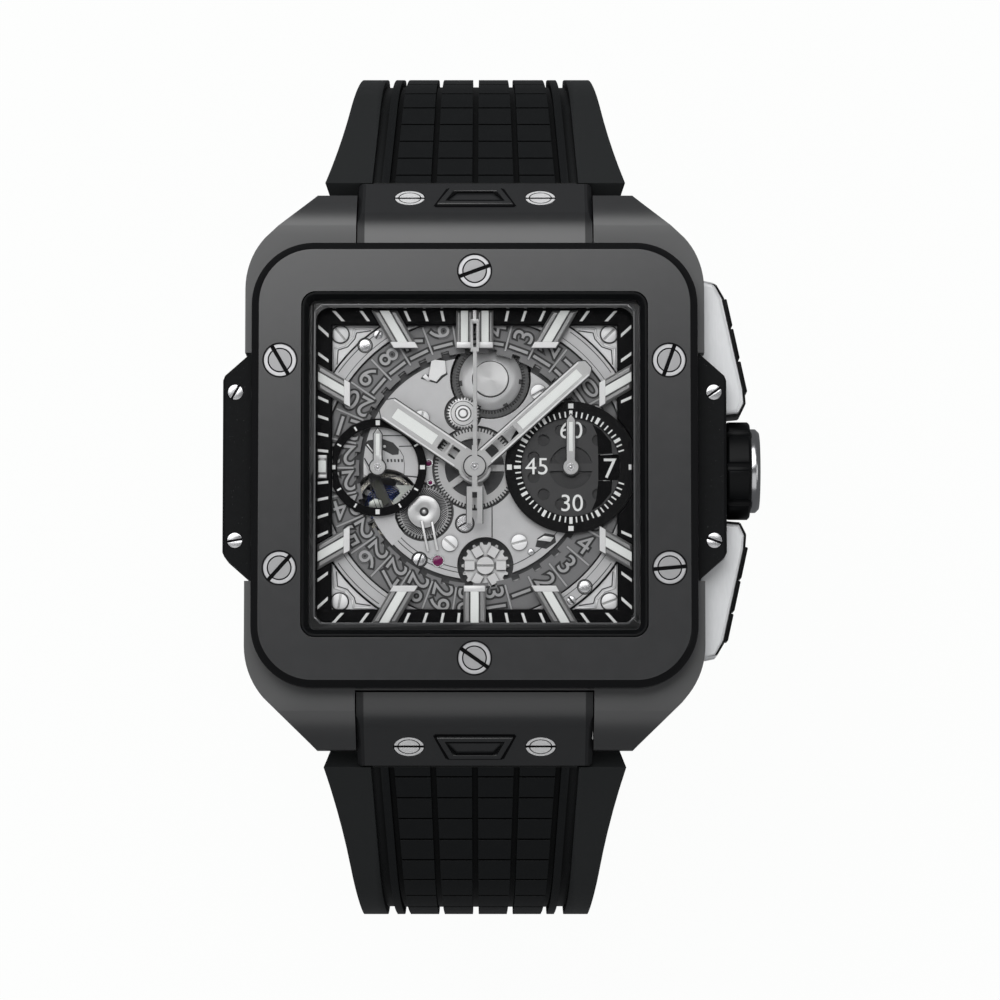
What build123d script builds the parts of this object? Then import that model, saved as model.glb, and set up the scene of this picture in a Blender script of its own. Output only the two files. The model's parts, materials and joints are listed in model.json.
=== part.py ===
"""Square chronograph wristwatch on a rubber strap, closed and standing on its clasp.

X points to 3 o'clock, Y to 12 o'clock and Z out of the dial. The origin is the middle of the flat
face under the clasp. Levels inside the head are given as depths below the top of the bezel.
"""
from build123d import *
from math import atan2, cos, degrees, hypot, radians, sin
import os

os.makedirs("parts", exist_ok=True)

# The watch as a whole
case_width = 42.4
case_length = 51.8
case_thickness = 14.5
back_height = 47.5
bezel_top = back_height + case_thickness

# Clearances shared by many pieces
seat_gap = 0.05
run_gap = 0.1
overrun = 1.0

# Middle case
flank_end = 16.5
shoulder_x, shoulder_y = 19.4, 21.3
lug_corner_x, lug_corner_y = 15.2, 25.4
lug_tip_x = 14.7
lug_gap = 22.0
body_front = 20.6
case_foot_depth = 12.3
lug_top_y = 20.0
lug_break_y, lug_break_depth = 22.5, 3.3
lug_tip_depth = 7.5
lug_under_depth = 10.8
bore_radius = 16.0
bore_depth = 4.6
window_half = 15.2

# Bezel, crystal and dial ring
bezel_thickness = 2.8
bezel_width = 41.0
bezel_corner = 5.7
bezel_chamfer = 0.7
bezel_opening = 31.8
opening_corner = 1.3
ledge_opening = 29.2
ledge_depth = 1.75
gasket_wall = 0.65
gasket_bevel = 0.45
crystal_top_depth = 0.1
crystal_chamfer = 0.25
dial_ring_top, dial_ring_bottom = 3.0, 3.8
dial_window = 26.3
dial_ring_chamfer = 0.12

# Bezel screws
bezel_screw_mid = 17.8
bezel_screw_side_x, bezel_screw_side_y = 17.85, 9.55
bezel_head_radius, bezel_head_height = 1.5, 0.5
bezel_shank_radius, bezel_shank_length = 0.8, 4.9
bezel_slot_width, bezel_slot_depth = 0.36, 0.25
bezel_groove_inner, bezel_groove_outer = 1.02, 1.14
bezel_groove_depth = 0.1
bezel_screw_turns = (20, -35, 70, 5, -60, 48)

# Side inserts and their screws
insert_inner_x, insert_outer_x = 20.6, 23.2
insert_inner_y, insert_outer_y = 10.5, 8.2
insert_top, insert_bottom = 2.4, 10.5
insert_shelf = 5.0
insert_block_y = 4.6
insert_edge = 0.25
insert_screw_x, insert_screw_y = 22.05, 6.85
insert_head_radius, insert_head_height = 0.7, 0.3
insert_shank_radius, insert_shank_length = 0.35, 1.8
small_slot_width, small_slot_depth = 0.2, 0.14
insert_screw_turns = (35, -20, 60, 10)

# Crown group, on an axis along X
crown_depth = 7.4
tube_radius, tube_bore = 2.0, 1.25
tube_start, tube_end = 16.5, 22.9
shaft_radius, shaft_start = 1.15, 17.0
shaft_groove_radius = 0.95
crown_pull = 1.2
gasket_margin = 1.6
shaft_groove_end = tube_end - crown_pull - gasket_margin
shaft_groove_width = 0.6
shaft_groove_start = shaft_groove_end - shaft_groove_width
gasket_radius = 1.23
crown_start, crown_end = 23.3, 25.5
crown_core_radius = 3.6
grip_radius = 4.55
grip_notches = 8
notch_radius, notch_reach = 0.5, 4.78
grip_chamfer = 0.2
cap_radius, cap_thickness = 3.9, 0.9
cap_chamfer = 0.35
cap_recess_radius, cap_recess = 2.9, 0.12
stem_radius, stem_start = 0.6, 9.0
stem_hole_radius = 0.8

# Pushers
pusher_travel = 0.8
pusher_inner_x = 20.9
pusher_far_y, pusher_near_y = 17.7, 4.9
pusher_heel_x, pusher_heel_y = 22.3, 17.4
pusher_far_x, pusher_face_far_y = 23.0, 16.0
pusher_near_x, pusher_face_near_y = 24.9, 7.5
pusher_tip_x, pusher_tip_y = 25.0, 6.1
pusher_toe_x, pusher_toe_y = 24.5, 5.1
pusher_top, pusher_bottom = 5.2, 9.8
pusher_bevel = 0.3
pocket_x = pusher_inner_x - pusher_travel - 2 * run_gap
pocket_far_y, pocket_near_y = 18.0, 4.7
pocket_top, pocket_bottom = 5.1, 9.9
pusher_stem_y = 11.3
pusher_stem_radius, pusher_stem_start = 0.9, 12.9
pusher_hole_radius = 1.0
spring_well_radius, spring_well_x = 1.5, 17.9
spring_radius, spring_wire = 1.22, 0.12
spring_turns = 4

# End links, their screws, bars and release buttons
link_half = 10.9
link_start_y, link_start_depth = 20.75, 3.5
link_bend_y, link_bend_depth = 24.0, 5.0
link_bow_y, link_bow_depth = 22.5, 3.95
link_tip_y, link_tip_depth = 27.3, 9.5
link_lip_depth = 9.85
link_foot_y, link_foot_depth = 22.4, 11.4
link_side_chamfer = 0.4
link_screw_x = 6.1
link_head_radius, link_head_height = 1.4, 0.5
link_shank_radius, link_shank_length = 0.6, 2.0
link_slot_width, link_slot_depth = 0.34, 0.25
lug_bar_y, lug_bar_depth = 21.55, 8.0
lug_bar_radius, lug_bar_half = 0.7, 13.0
release_travel = 0.5
release_wide, release_narrow = 7.1, 4.8
release_height = 3.1
release_thickness, release_proud = 0.9, 0.25
release_pocket = release_thickness - release_proud + release_travel + run_gap
release_rim, release_dish = 0.55, 0.2

# Strap
strap_reach_upper, strap_reach_lower = 40.1, 41.0
strap_start_y, strap_start_depth = 27.45, 9.9
strap_thick_start, strap_thick_end = 4.0, 2.5
strap_width_lug, strap_width_waist, strap_width_side, strap_width_clasp = 28.2, 23.9, 21.6, 20.2
strap_width_inside = 18.4
strap_waist_height, strap_side_height = 44.3, 35.0
strap_clasp_height, strap_inside_height = 10.0, 4.0
tongue_half = 9.5
tongue_start_y = 22.5
tongue_bottom_depth = 12.1
pad_panel_lug, pad_panel_side = 15.6, 13.1
pad_groove_width, pad_groove_depth = 0.55, 0.7
cross_groove_width = 0.2
pad_pitch, pad_first = 2.6, 1.2
strap_slope, strap_bend_radius, strap_hip_turn = 43.0, 13.3, 45.0
pad_line_shares = (-1, -0.5, 0, 0.5, 1)
channel_depth, channel_width, channel_offset = 0.75, 0.9, 1.45
upper_groove_margin, lower_groove_margin = 9.0, 6.0
flat_start_y, flat_end_y = 15.0, 13.0
strap_flat_height = 1.5

# Clasp
cover_half, cover_thickness = 11.0, 1.3
cover_back_y, cover_front_y = 15.5, 14.2
cover_corner = 2.0
cover_wall, cover_wall_top = 0.7, 4.2
cover_edge = 0.4
hinge_y, hinge_height = 13.0, 5.2
hinge_pin_radius, hinge_knuckle_radius = 0.55, 1.05
hinge_ear_radius = 1.35
blade_half = 9.0
blade_bottom, blade_thickness = 4.15, 0.8
bar_y, bar_height = 16.9, 3.5
spring_bar_radius = 0.75
knuckle_radius = 1.7
hook_outer, hook_inner = 1.45, 0.95
hook_half, hook_slot_half = 5.2, 5.4
blade_window_width, blade_window_length = 6.0, 14.0
clasp_button_y, clasp_button_width = 7.0, 4.0
clasp_button_low, clasp_button_high = 2.0, 3.8
clasp_button_travel = 0.6
clasp_button_in, clasp_button_out = 10.35, cover_half + clasp_button_travel
clasp_button_edge = 0.2
blade_body_length = 25.0
hook_clearance = 0.25
bar_depth = bezel_top - bar_height
hinge_depth = bezel_top - hinge_height

# Case back
back_width, back_corner = 39.4, 6.0
back_edge = 1.0
rotor_well_radius, rotor_well_depth = 14.8, 12.9
back_crystal_radius, back_crystal_bottom = 13.6, 13.9
back_opening_radius = 12.9
back_screw_far, back_screw_near = 16.9, 8.0
back_head_radius, back_head_height = 1.0, 0.45
back_shank_radius, back_shank_length = 0.5, 3.0
seal_inner, seal_outer, seal_depth = 16.55, 17.25, 0.45

# Hour markers
marker_width = 2.05
marker_top, marker_bottom = 2.75, 3.25
marker_outer = 14.5
marker_inner_x, marker_inner_y = 11.5, 11.0
marker_facet = 0.22
noon_bar_width, noon_bar_offset = 1.55, 0.95
nine_inner_x = 13.6
nine_width = 2.2
bar_hours = (1, 2, 4, 5, 6, 7, 8, 10, 11)

# Corner brackets, movement holder and date disc
holder_inner, holder_outer = 14.15, 15.7
bracket_circle, bracket_half = 15.85, 15.05
bracket_top = 4.1
corner_screw_x, corner_screw_y = 12.45, 12.4
corner_head_radius, corner_head_height = 0.75, 0.25
corner_shank_radius, corner_shank_length = 0.35, 1.4
date_inner, date_outer = 10.7, 14.0
date_top, date_bottom = 4.0, 4.3
date_days = 31
date_notch_depth, date_notch_width = 0.45, 0.75

# Small dials
seconds_x, counter_x = -8.95, 8.87
seconds_ring_inner, seconds_ring_outer = 3.75, 4.52
seconds_ring_top, small_dial_bottom = 3.5, 3.75
small_dial_limit = 13.1
counter_ring_inner, counter_ring_outer = 4.55, 6.1
counter_ring_top, counter_floor_top = 3.4, 3.55
counter_limit = 14.5
counter_hole_radius, counter_hole_circle = 0.55, 3.55
counter_centre_hole = 2.0
counter_spoke_width = 0.7
date_aperture_x, date_aperture_width, date_aperture_height = 12.4, 2.0, 2.4
foot_radius = 0.25
seconds_foot_circle, counter_foot_circle = 4.1, 5.3
seconds_foot_angles = (90, 50, 10)
counter_foot_angles = (120, 240)

# Main plate, bridges and screws on the dial side
plate_radius = 15.7
plate_top, plate_bottom = 4.6, 6.3
plate_rim_inner, plate_rim_bottom = 14.2, 9.6
date_seat_inner, date_seat_outer, date_seat_top = 11.0, 13.8, 4.35
dial_bridge_radius, dial_bridge_top = 10.3, 4.2
bridge_seam_x, bridge_seam_width, bridge_seam_depth = 1.6, 0.1, 0.2
window_gap = 0.25
balance_window_radius = 3.1
balance_bar_width, balance_bar_top = 1.0, 5.6
pivot_gap = 0.05
plate_screw_head, plate_screw_height = 0.72, 0.2
plate_screw_shank, plate_screw_length = 0.35, 1.1
plate_screw_turns, corner_screw_turns = (15, -40, 70, 30), (45, 20, -50, 80)
plate_screw_places = ((4.1, -6.9), (-2.3, -7.0), (-4.95, 4.6), (5.9, 7.0))
land_low_y = -2.0
barrel_window_radius = 3.75
barrel_bar_top, barrel_bar_bottom, barrel_bar_width = 8.2, 8.9, 2.4
stud_radius, stud_bottom = 0.25, 5.6

# Gears: a module is the pitch diameter over the teeth
dial_module = 0.1
hour_teeth, date_drive_teeth, minute_wheel_teeth = 74, 50, 30
dial_gear_top, dial_gear_thickness = 4.3, 0.2
date_drive_angle, minute_wheel_angle = 221.0, 102.0
tooth_rise_share, tooth_drop_share = 0.45, 0.65
tooth_root_share, tooth_tip_share = 0.27, 0.12
hour_rim_inner, hour_spoke_width, hour_spokes = 2.75, 0.6, 5
hour_pipe_radius, hour_pipe_bore = 0.8, 0.55
cannon_radius, cannon_bore = 0.5, 0.3
cannon_collar_radius, cannon_collar_top, cannon_bottom = 0.75, 5.0, 6.2
centre_hole_radius = 0.85
chrono_arbor_radius = 0.25
chrono_wheel_teeth, chrono_wheel_top = 60, 6.6
small_arbor_radius = 0.18
wheel_cap_radius, wheel_cap_top = 1.0, 4.15
wheel_thickness = 0.2
hub_radius = 0.75
gear_spoke_width, gear_spokes = 0.45, 4
gear_rim = 0.55
counter_gear_teeth = 38

# Going train behind the main plate
barrel_x, barrel_y = 1.45, 8.3
barrel_teeth, second_pinion_teeth = 72, 12
barrel_teeth_top, barrel_teeth_bottom, barrel_drum_bottom = 4.8, 6.9, 8.0
barrel_drum_radius = 3.3
barrel_ring_radius, barrel_ring_top = 2.95, 4.6
barrel_cone_radius, barrel_cone_top, barrel_cone_tip = 1.6, 4.25, 1.1
barrel_arbor_radius = 0.4
barrel_hole_radius = 3.85
second_module, second_teeth, third_pinion_teeth = 0.11, 80, 10
third_module, third_teeth, fourth_pinion_teeth = 0.1, 75, 10
fourth_module, fourth_teeth, escape_pinion_teeth = 0.07, 72, 6
second_pinion_top, second_wheel_top = 6.4, 9.2
third_wheel_top, fourth_wheel_top = 8.7, 7.75
train_pivot_top, train_pivot_bottom = 6.1, 10.0
train_arbor_radius = 0.15
escape_angle = 207.0
escape_teeth, escape_radius, escape_top = 20, 1.45, 8.3
escape_thickness = 0.15
escape_tooth_depth = 0.3
escape_hole_radius, escape_hole_circle, escape_holes = 0.25, 0.7, 4

# Balance, fork and cock
balance_x, balance_y = -8.2, -3.2
balance_radius, balance_rim_inner = 2.9, 2.5
balance_top, balance_thickness = 6.5, 0.5
balance_arm_width, balance_arms = 0.4, 3
balance_screws, balance_screw_radius = 8, 0.16
staff_radius, staff_top, staff_bottom = 0.14, 5.9, 9.1
roller_radius, roller_top, roller_bottom = 0.3, 8.2, 8.5
collet_radius, balance_hub_radius = 0.45, 0.55
hairspring_top, hairspring_height = 7.2, 0.2
hairspring_start, hairspring_step, hairspring_strip = 0.55, 0.2, 0.06
hairspring_half_turns = 14
cock_pillar_x, cock_pillar_y, cock_pillar_radius = -12.2, -5.0, 0.9
cock_top, cock_bottom, cock_width = 8.6, 9.2, 1.6
fork_share = 0.5
fork_width, fork_reach = 0.3, 1.25
fork_arm_reach, fork_arm_angle = 0.75, 65.0
fork_arbor_top, fork_hub_radius = 8.1, 0.28
stud_pin_radius = 0.15

# Column wheel and train bridge
column_x, column_y = 0.98, -9.0
column_recess_radius, column_recess_bottom = 2.6, 5.4
column_wheel_radius, column_base_top, column_base_bottom = 2.1, 5.0, 5.25
column_count, column_inner, column_outer, column_width = 6, 1.0, 1.9, 0.8
column_top = 4.65
column_teeth = 18
column_head_radius, column_head_top = 0.8, 4.75
column_screw_slot, column_screw_slot_depth = 0.2, 0.12
train_bridge_radius, train_bridge_bottom = 15.6, 11.0
train_window_radius = 2.2
train_window_places = ((7.5, -6.5), (9.3, 4.0), (2.0, -9.6))

# Rotor
rotor_radius, rotor_rim_inner = 14.4, 12.2
rotor_top, rotor_plate_bottom, rotor_bottom = 11.6, 12.0, 12.6
rotor_hub_radius = 2.6
rotor_post_radius, rotor_post_bottom = 1.2, 12.5
rotor_cap_radius, rotor_cap_top = 1.7, 12.15
rotor_bore = 1.3
rotor_opening_inner, rotor_opening_outer, rotor_opening_angle = 4.2, 10.8, 26.0
rotor_opening_turns = (225, 270, 315)

# Hands
hour_hand_reach, hour_hand_width = 10.2, 2.2
hour_hand_top, hour_hand_bottom = 2.8, 3.0
hour_hand_angle = 90 - 304
hour_lume_start, hour_lume_end, hour_lume_width = 4.4, 8.9, 1.05
hour_hub_radius = 1.5
hour_open_near, hour_open_far, hour_open_length, hour_open_width = 2.35, 3.45, 0.85, 1.05
minute_hand_reach, minute_hand_width = 14.1, 1.7
minute_hand_top, minute_hand_bottom = 2.45, 2.65
minute_hand_angle = 90 - 48
minute_lume_start, minute_lume_end, minute_lume_width = 5.6, 13.0, 0.85
minute_hub_radius = 1.2
minute_open_start, minute_open_end, minute_open_width = 1.7, 5.1, 0.95
hand_tip = 0.55
chrono_hand_reach, chrono_hand_top, chrono_hand_bottom = 14.4, 2.15, 2.3
chrono_needle_width, chrono_head_width = 0.3, 0.75
chrono_head_start, chrono_head_end = 10.6, 13.6
chrono_slot_width, chrono_slot_start, chrono_slot_end = 0.3, 11.0, 13.2
chrono_hub_radius = 0.95
chrono_tail_start, chrono_tail_end, chrono_tail_width, chrono_tail_bar = 1.9, 5.3, 1.45, 0.5
small_hand_top, small_hand_bottom = 3.2, 3.35
seconds_hand_reach, counter_hand_reach, small_hand_width = 3.6, 4.9, 0.75
seconds_hand_angle, counter_hand_angle = 90, 90
small_hand_hub = 0.7
small_lume_width, small_lume_start_share, small_lume_end_share = 0.36, 0.3, 0.86

case_half = case_width / 2
centre = (0, 0)


def at_depth(depth):
    """Height of a level that lies this far below the top of the bezel."""
    return bezel_top - depth


def disc(place, top, bottom, radius, mode=Mode.ADD):
    """Round slab between two depths, added to or cut from the part being built."""
    with BuildSketch(Plane.XY.offset(at_depth(bottom))) as profile:
        with Locations(place):
            Circle(radius)
    extrude(profile.sketch, amount=bottom - top, mode=mode)


def slab(x_size, y_size, top, bottom, place=centre, mode=Mode.ADD):
    """Rectangular slab between two depths."""
    with BuildSketch(Plane.XY.offset(at_depth(bottom))) as profile:
        with Locations(place):
            Rectangle(x_size, y_size)
    extrude(profile.sketch, amount=bottom - top, mode=mode)


def rod(start, end, y, depth, radius, mode=Mode.ADD):
    """Round bar along X."""
    with BuildSketch(Plane.YZ.offset(start)) as profile:
        with Locations((y, at_depth(depth))):
            Circle(radius)
    extrude(profile.sketch, amount=end - start, mode=mode)


def outline(*points, mode=Mode.ADD):
    """Closed face through the points, in the sketch being drawn."""
    Polygon(*points, align=None, mode=mode)


def polar(radius, angle, origin=centre):
    """Point at a radius and an angle in degrees round an origin."""
    return (origin[0] + radius * cos(radians(angle)), origin[1] + radius * sin(radians(angle)))


def slotted_screw(head_radius, head_height, shank_radius, shank_length, slot_width, slot_depth):
    """Screw with a flat slotted head. Its origin is under the head, and the shank points down."""
    with BuildPart() as screw:
        Cylinder(head_radius, head_height, align=(Align.CENTER, Align.CENTER, Align.MIN))
        Cylinder(shank_radius, shank_length, align=(Align.CENTER, Align.CENTER, Align.MAX))
        with Locations((0, 0, head_height)):
            Box(2 * head_radius, slot_width, 2 * slot_depth, mode=Mode.SUBTRACT)
    return screw.part


# Gear teeth


def tooth_outline(teeth, module, phase):
    """Points round a gear whose tooth at the phase angle is centred on it."""
    pitch_radius = module * teeth / 2
    tip = pitch_radius + tooth_rise_share * module
    root = pitch_radius - tooth_drop_share * module
    step = 360 / teeth
    points = []
    for tooth in range(teeth):
        middle = phase + tooth * step
        points.append(polar(root, middle - tooth_root_share * step))
        points.append(polar(tip, middle - tooth_tip_share * step))
        points.append(polar(tip, middle + tooth_tip_share * step))
        points.append(polar(root, middle + tooth_root_share * step))
    return points


def meshing_phase(driver_teeth, driver_phase, direction, teeth):
    """Phase of a gear that meshes with a driver which sees it in the given direction."""
    offset = (driver_phase - direction) % (360 / driver_teeth)
    return direction + 180 - offset * driver_teeth / teeth + 180 / teeth


def gear(place, top, thickness, teeth, module, phase=0.0):
    """Solid toothed disc below the given depth."""
    with BuildSketch(Plane.XY.offset(at_depth(top + thickness))) as profile:
        with Locations(place):
            outline(*tooth_outline(teeth, module, phase))
    extrude(profile.sketch, amount=thickness)


def spoked_gear(place, top, thickness, teeth, module, phase, rim, hub, spoke_width, spokes):
    """Toothed rim on spokes round a hub."""
    rim_inner = module * teeth / 2 - rim
    with BuildSketch(Plane.XY.offset(at_depth(top + thickness))) as profile:
        with Locations(place):
            outline(*tooth_outline(teeth, module, phase))
            Circle(rim_inner, mode=Mode.SUBTRACT)
            Circle(hub)
            with PolarLocations(0, spokes):
                Rectangle(rim_inner + rim / 2, spoke_width, align=(Align.MIN, Align.CENTER))
    extrude(profile.sketch, amount=thickness)


def bore(place, top, bottom, radius):
    """Clears a round hole between two depths from the part being built."""
    disc(place, top, bottom, radius, mode=Mode.SUBTRACT)


# Places of the train's arbors: each lies at the sum of two pitch radii from the one before it
barrel_place = (barrel_x, barrel_y)
seconds_place = (seconds_x, 0)
counter_place = (counter_x, 0)
balance_place = (balance_x, balance_y)
column_place = (column_x, column_y)
barrel_to_second = dial_module * (barrel_teeth + second_pinion_teeth) / 2
second_to_third = second_module * (second_teeth + third_pinion_teeth) / 2
third_to_fourth = third_module * (third_teeth + fourth_pinion_teeth) / 2
fourth_to_escape = fourth_module * (fourth_teeth + escape_pinion_teeth) / 2
train_angle = degrees(atan2(-barrel_y, seconds_x - barrel_x))
second_place = polar(barrel_to_second, train_angle, barrel_place)
third_reach = hypot(second_place[0] - seconds_x, second_place[1])
second_side = degrees(atan2(-second_place[1], seconds_x - second_place[0]))


def triangle_angle(side_a, side_b, opposite):
    """Angle between two sides of a triangle, in degrees."""
    share = (side_a**2 + side_b**2 - opposite**2) / (2 * side_a * side_b)
    return degrees(atan2((max(0.0, 1 - share**2)) ** 0.5, share))


third_swing = triangle_angle(second_to_third, third_reach, third_to_fourth)
third_place = polar(second_to_third, second_side + third_swing, second_place)
third_direction = degrees(
    atan2(third_place[1] - second_place[1], third_place[0] - second_place[0])
)
fourth_direction = degrees(atan2(-third_place[1], seconds_x - third_place[0]))
escape_place = polar(fourth_to_escape, escape_angle, seconds_place)
fork_place = (
    escape_place[0] + fork_share * (balance_x - escape_place[0]),
    escape_place[1] + fork_share * (balance_y - escape_place[1]),
)
fork_angle = degrees(atan2(balance_y - fork_place[1], balance_x - fork_place[0]))
cock_place = (cock_pillar_x, cock_pillar_y)
cock_angle = degrees(atan2(cock_pillar_y - balance_y, cock_pillar_x - balance_x))
cock_reach = hypot(cock_pillar_x - balance_x, cock_pillar_y - balance_y)
spring_stud_place = polar(
    hairspring_start + (hairspring_half_turns + 1) * hairspring_step / 2 + stud_pin_radius,
    cock_angle,
    balance_place,
)
date_drive_reach = dial_module * (hour_teeth + date_drive_teeth) / 2
minute_wheel_reach = dial_module * (hour_teeth + minute_wheel_teeth) / 2
date_drive_place = polar(date_drive_reach, date_drive_angle)
minute_wheel_place = polar(minute_wheel_reach, minute_wheel_angle)
train_arbors = (second_place, third_place, seconds_place, escape_place)

bezel_screw_places = (
    (0, bezel_screw_mid),
    (0, -bezel_screw_mid),
    (bezel_screw_side_x, bezel_screw_side_y),
    (bezel_screw_side_x, -bezel_screw_side_y),
    (-bezel_screw_side_x, bezel_screw_side_y),
    (-bezel_screw_side_x, -bezel_screw_side_y),
)
back_screw_places = [
    (x * sign_x, y * sign_y)
    for x, y in ((back_screw_far, back_screw_near), (back_screw_near, back_screw_far))
    for sign_x in (1, -1)
    for sign_y in (1, -1)
]
corner_places = [
    (sign_x * corner_screw_x, sign_y * corner_screw_y) for sign_x in (1, -1) for sign_y in (1, -1)
]
insert_screw_places = [
    (sign_x * insert_screw_x, sign_y * insert_screw_y) for sign_x in (1, -1) for sign_y in (1, -1)
]

# Middle case with its four lugs
with BuildPart() as middle_case:
    with BuildSketch(Plane.XY.offset(at_depth(case_foot_depth))):
        with BuildLine():
            flank = Line((case_half, 0), (case_half, flank_end))
            shoulder = TangentArc(flank @ 1, (shoulder_x, shoulder_y), tangent=(0, 1))
            Polyline(
                shoulder @ 1,
                (lug_corner_x, lug_corner_y),
                (lug_tip_x, case_length / 2),
                (lug_gap / 2, case_length / 2),
                (lug_gap / 2, body_front),
                (0, body_front),
                centre,
                flank @ 0,
            )
        make_face()
        mirror(about=Plane.YZ)
        mirror(about=Plane.XZ)
    extrude(amount=case_foot_depth - bezel_thickness)
    with BuildSketch(Plane.YZ):
        outline(
            (0, at_depth(bezel_thickness)),
            (lug_top_y, at_depth(bezel_thickness)),
            (lug_break_y, at_depth(lug_break_depth)),
            (case_length / 2, at_depth(lug_tip_depth)),
            (case_length / 2, at_depth(lug_under_depth)),
            (lug_top_y, at_depth(case_foot_depth)),
            (0, at_depth(case_foot_depth)),
        )
        mirror(about=Plane.YZ)
    extrude(amount=case_width, both=True, mode=Mode.INTERSECT)
    disc(centre, bore_depth, case_foot_depth, bore_radius, mode=Mode.SUBTRACT)
    slab(2 * window_half, 2 * window_half, bezel_thickness, bore_depth, mode=Mode.SUBTRACT)
    for side in (1, -1):
        slab(
            2 * (case_half - insert_inner_x),
            2 * (insert_inner_y + seat_gap),
            bezel_thickness,
            insert_bottom + seat_gap,
            place=(side * case_half, 0),
            mode=Mode.SUBTRACT,
        )
        slab(
            2 * (case_half - pocket_x),
            pocket_far_y - pocket_near_y,
            pocket_top,
            pocket_bottom,
            place=(case_half, side * (pocket_far_y + pocket_near_y) / 2),
            mode=Mode.SUBTRACT,
        )
        stem_y = side * pusher_stem_y
        rod(0, pocket_x, stem_y, crown_depth, pusher_hole_radius, mode=Mode.SUBTRACT)
        rod(spring_well_x, pocket_x, stem_y, crown_depth, spring_well_radius, mode=Mode.SUBTRACT)
        rod(
            -lug_bar_half - seat_gap,
            lug_bar_half + seat_gap,
            side * lug_bar_y,
            lug_bar_depth,
            lug_bar_radius + seat_gap,
            mode=Mode.SUBTRACT,
        )
    rod(0, case_half, 0, crown_depth, stem_hole_radius, mode=Mode.SUBTRACT)
    rod(crown_start - run_gap, case_width, 0, crown_depth, grip_radius + run_gap, Mode.SUBTRACT)
    rod(tube_start, case_half, 0, crown_depth, tube_radius + seat_gap, mode=Mode.SUBTRACT)
    for place in bezel_screw_places:
        bore(
            place,
            bezel_thickness,
            bezel_head_height + seat_gap + bezel_shank_length + run_gap,
            bezel_shank_radius + seat_gap,
        )
    for place in back_screw_places:
        bore(
            place,
            case_thickness - back_head_height - back_shank_length - 2 * run_gap,
            case_foot_depth,
            back_shank_radius + seat_gap,
        )
    for place in corner_places:
        bore(
            place,
            bore_depth,
            bracket_top + corner_shank_length + run_gap,
            corner_shank_radius + seat_gap,
        )
middle_case.part.label = "middle_case"
export_step(middle_case.part, "parts/middle_case.step")

# Bezel with its six counterbored screw holes
with BuildPart() as bezel:
    with BuildSketch(Plane.XY.offset(at_depth(bezel_thickness))):
        RectangleRounded(bezel_width, bezel_width, bezel_corner)
        RectangleRounded(ledge_opening, ledge_opening, opening_corner, mode=Mode.SUBTRACT)
    extrude(amount=bezel_thickness)
    with BuildSketch(Plane.XY.offset(at_depth(ledge_depth))):
        RectangleRounded(bezel_opening, bezel_opening, opening_corner)
    extrude(amount=ledge_depth, mode=Mode.SUBTRACT)
    chamfer(bezel.faces().sort_by(Axis.Z)[-1].outer_wire().edges(), bezel_chamfer)
    for side in (1, -1):
        slab(
            bezel_width,
            2 * (insert_inner_y + seat_gap),
            insert_top - seat_gap,
            bezel_thickness + overrun,
            place=(side * (insert_inner_x - seat_gap + bezel_width / 2), 0),
            mode=Mode.SUBTRACT,
        )
    with Locations(*[(x, y, bezel_top) for x, y in bezel_screw_places]):
        CounterBoreHole(
            bezel_shank_radius + seat_gap,
            bezel_head_radius + seat_gap,
            bezel_head_height + seat_gap,
        )
bezel.part.label = "bezel"
export_step(bezel.part, "parts/bezel.step")

bezel_screw = slotted_screw(
    bezel_head_radius,
    bezel_head_height,
    bezel_shank_radius,
    bezel_shank_length,
    bezel_slot_width,
    bezel_slot_depth,
)
with BuildPart() as bezel_screws:
    for (x, y), turn in zip(bezel_screw_places, bezel_screw_turns):
        with Locations(Location((x, y, at_depth(bezel_head_height + seat_gap)), (0, 0, turn))):
            add(bezel_screw)
    with BuildSketch(Plane.XY.offset(at_depth(seat_gap + bezel_groove_depth))):
        with Locations(*bezel_screw_places):
            Circle(bezel_groove_outer)
            Circle(bezel_groove_inner, mode=Mode.SUBTRACT)
    extrude(amount=2 * bezel_groove_depth, mode=Mode.SUBTRACT)
bezel_screws.part.label = "bezel_screws"
export_step(bezel_screws.part, "parts/bezel_screws.step")

# Black gasket frame and the crystal inside it, both on the bezel's ledge
with BuildPart() as crystal_gasket:
    with BuildSketch(Plane.XY.offset(at_depth(ledge_depth))):
        frame_size = bezel_opening - 2 * seat_gap
        RectangleRounded(frame_size, frame_size, opening_corner)
        hole_size = frame_size - 2 * gasket_wall
        RectangleRounded(hole_size, hole_size, opening_corner - gasket_wall, mode=Mode.SUBTRACT)
    extrude(amount=ledge_depth - seat_gap)
    chamfer(
        crystal_gasket.faces().sort_by(Axis.Z)[-1].inner_wires()[0].edges(),
        gasket_bevel,
    )
crystal_gasket.part.label = "crystal_gasket"
export_step(crystal_gasket.part, "parts/crystal_gasket.step")

with BuildPart() as front_crystal:
    crystal_size = hole_size - 2 * seat_gap
    with BuildSketch(Plane.XY.offset(at_depth(ledge_depth))):
        RectangleRounded(crystal_size, crystal_size, opening_corner - gasket_wall)
    extrude(amount=ledge_depth - crystal_top_depth)
    chamfer(front_crystal.faces().sort_by(Axis.Z)[-1].edges(), crystal_chamfer)
front_crystal.part.label = "front_crystal"
export_step(front_crystal.part, "parts/front_crystal.step")

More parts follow.
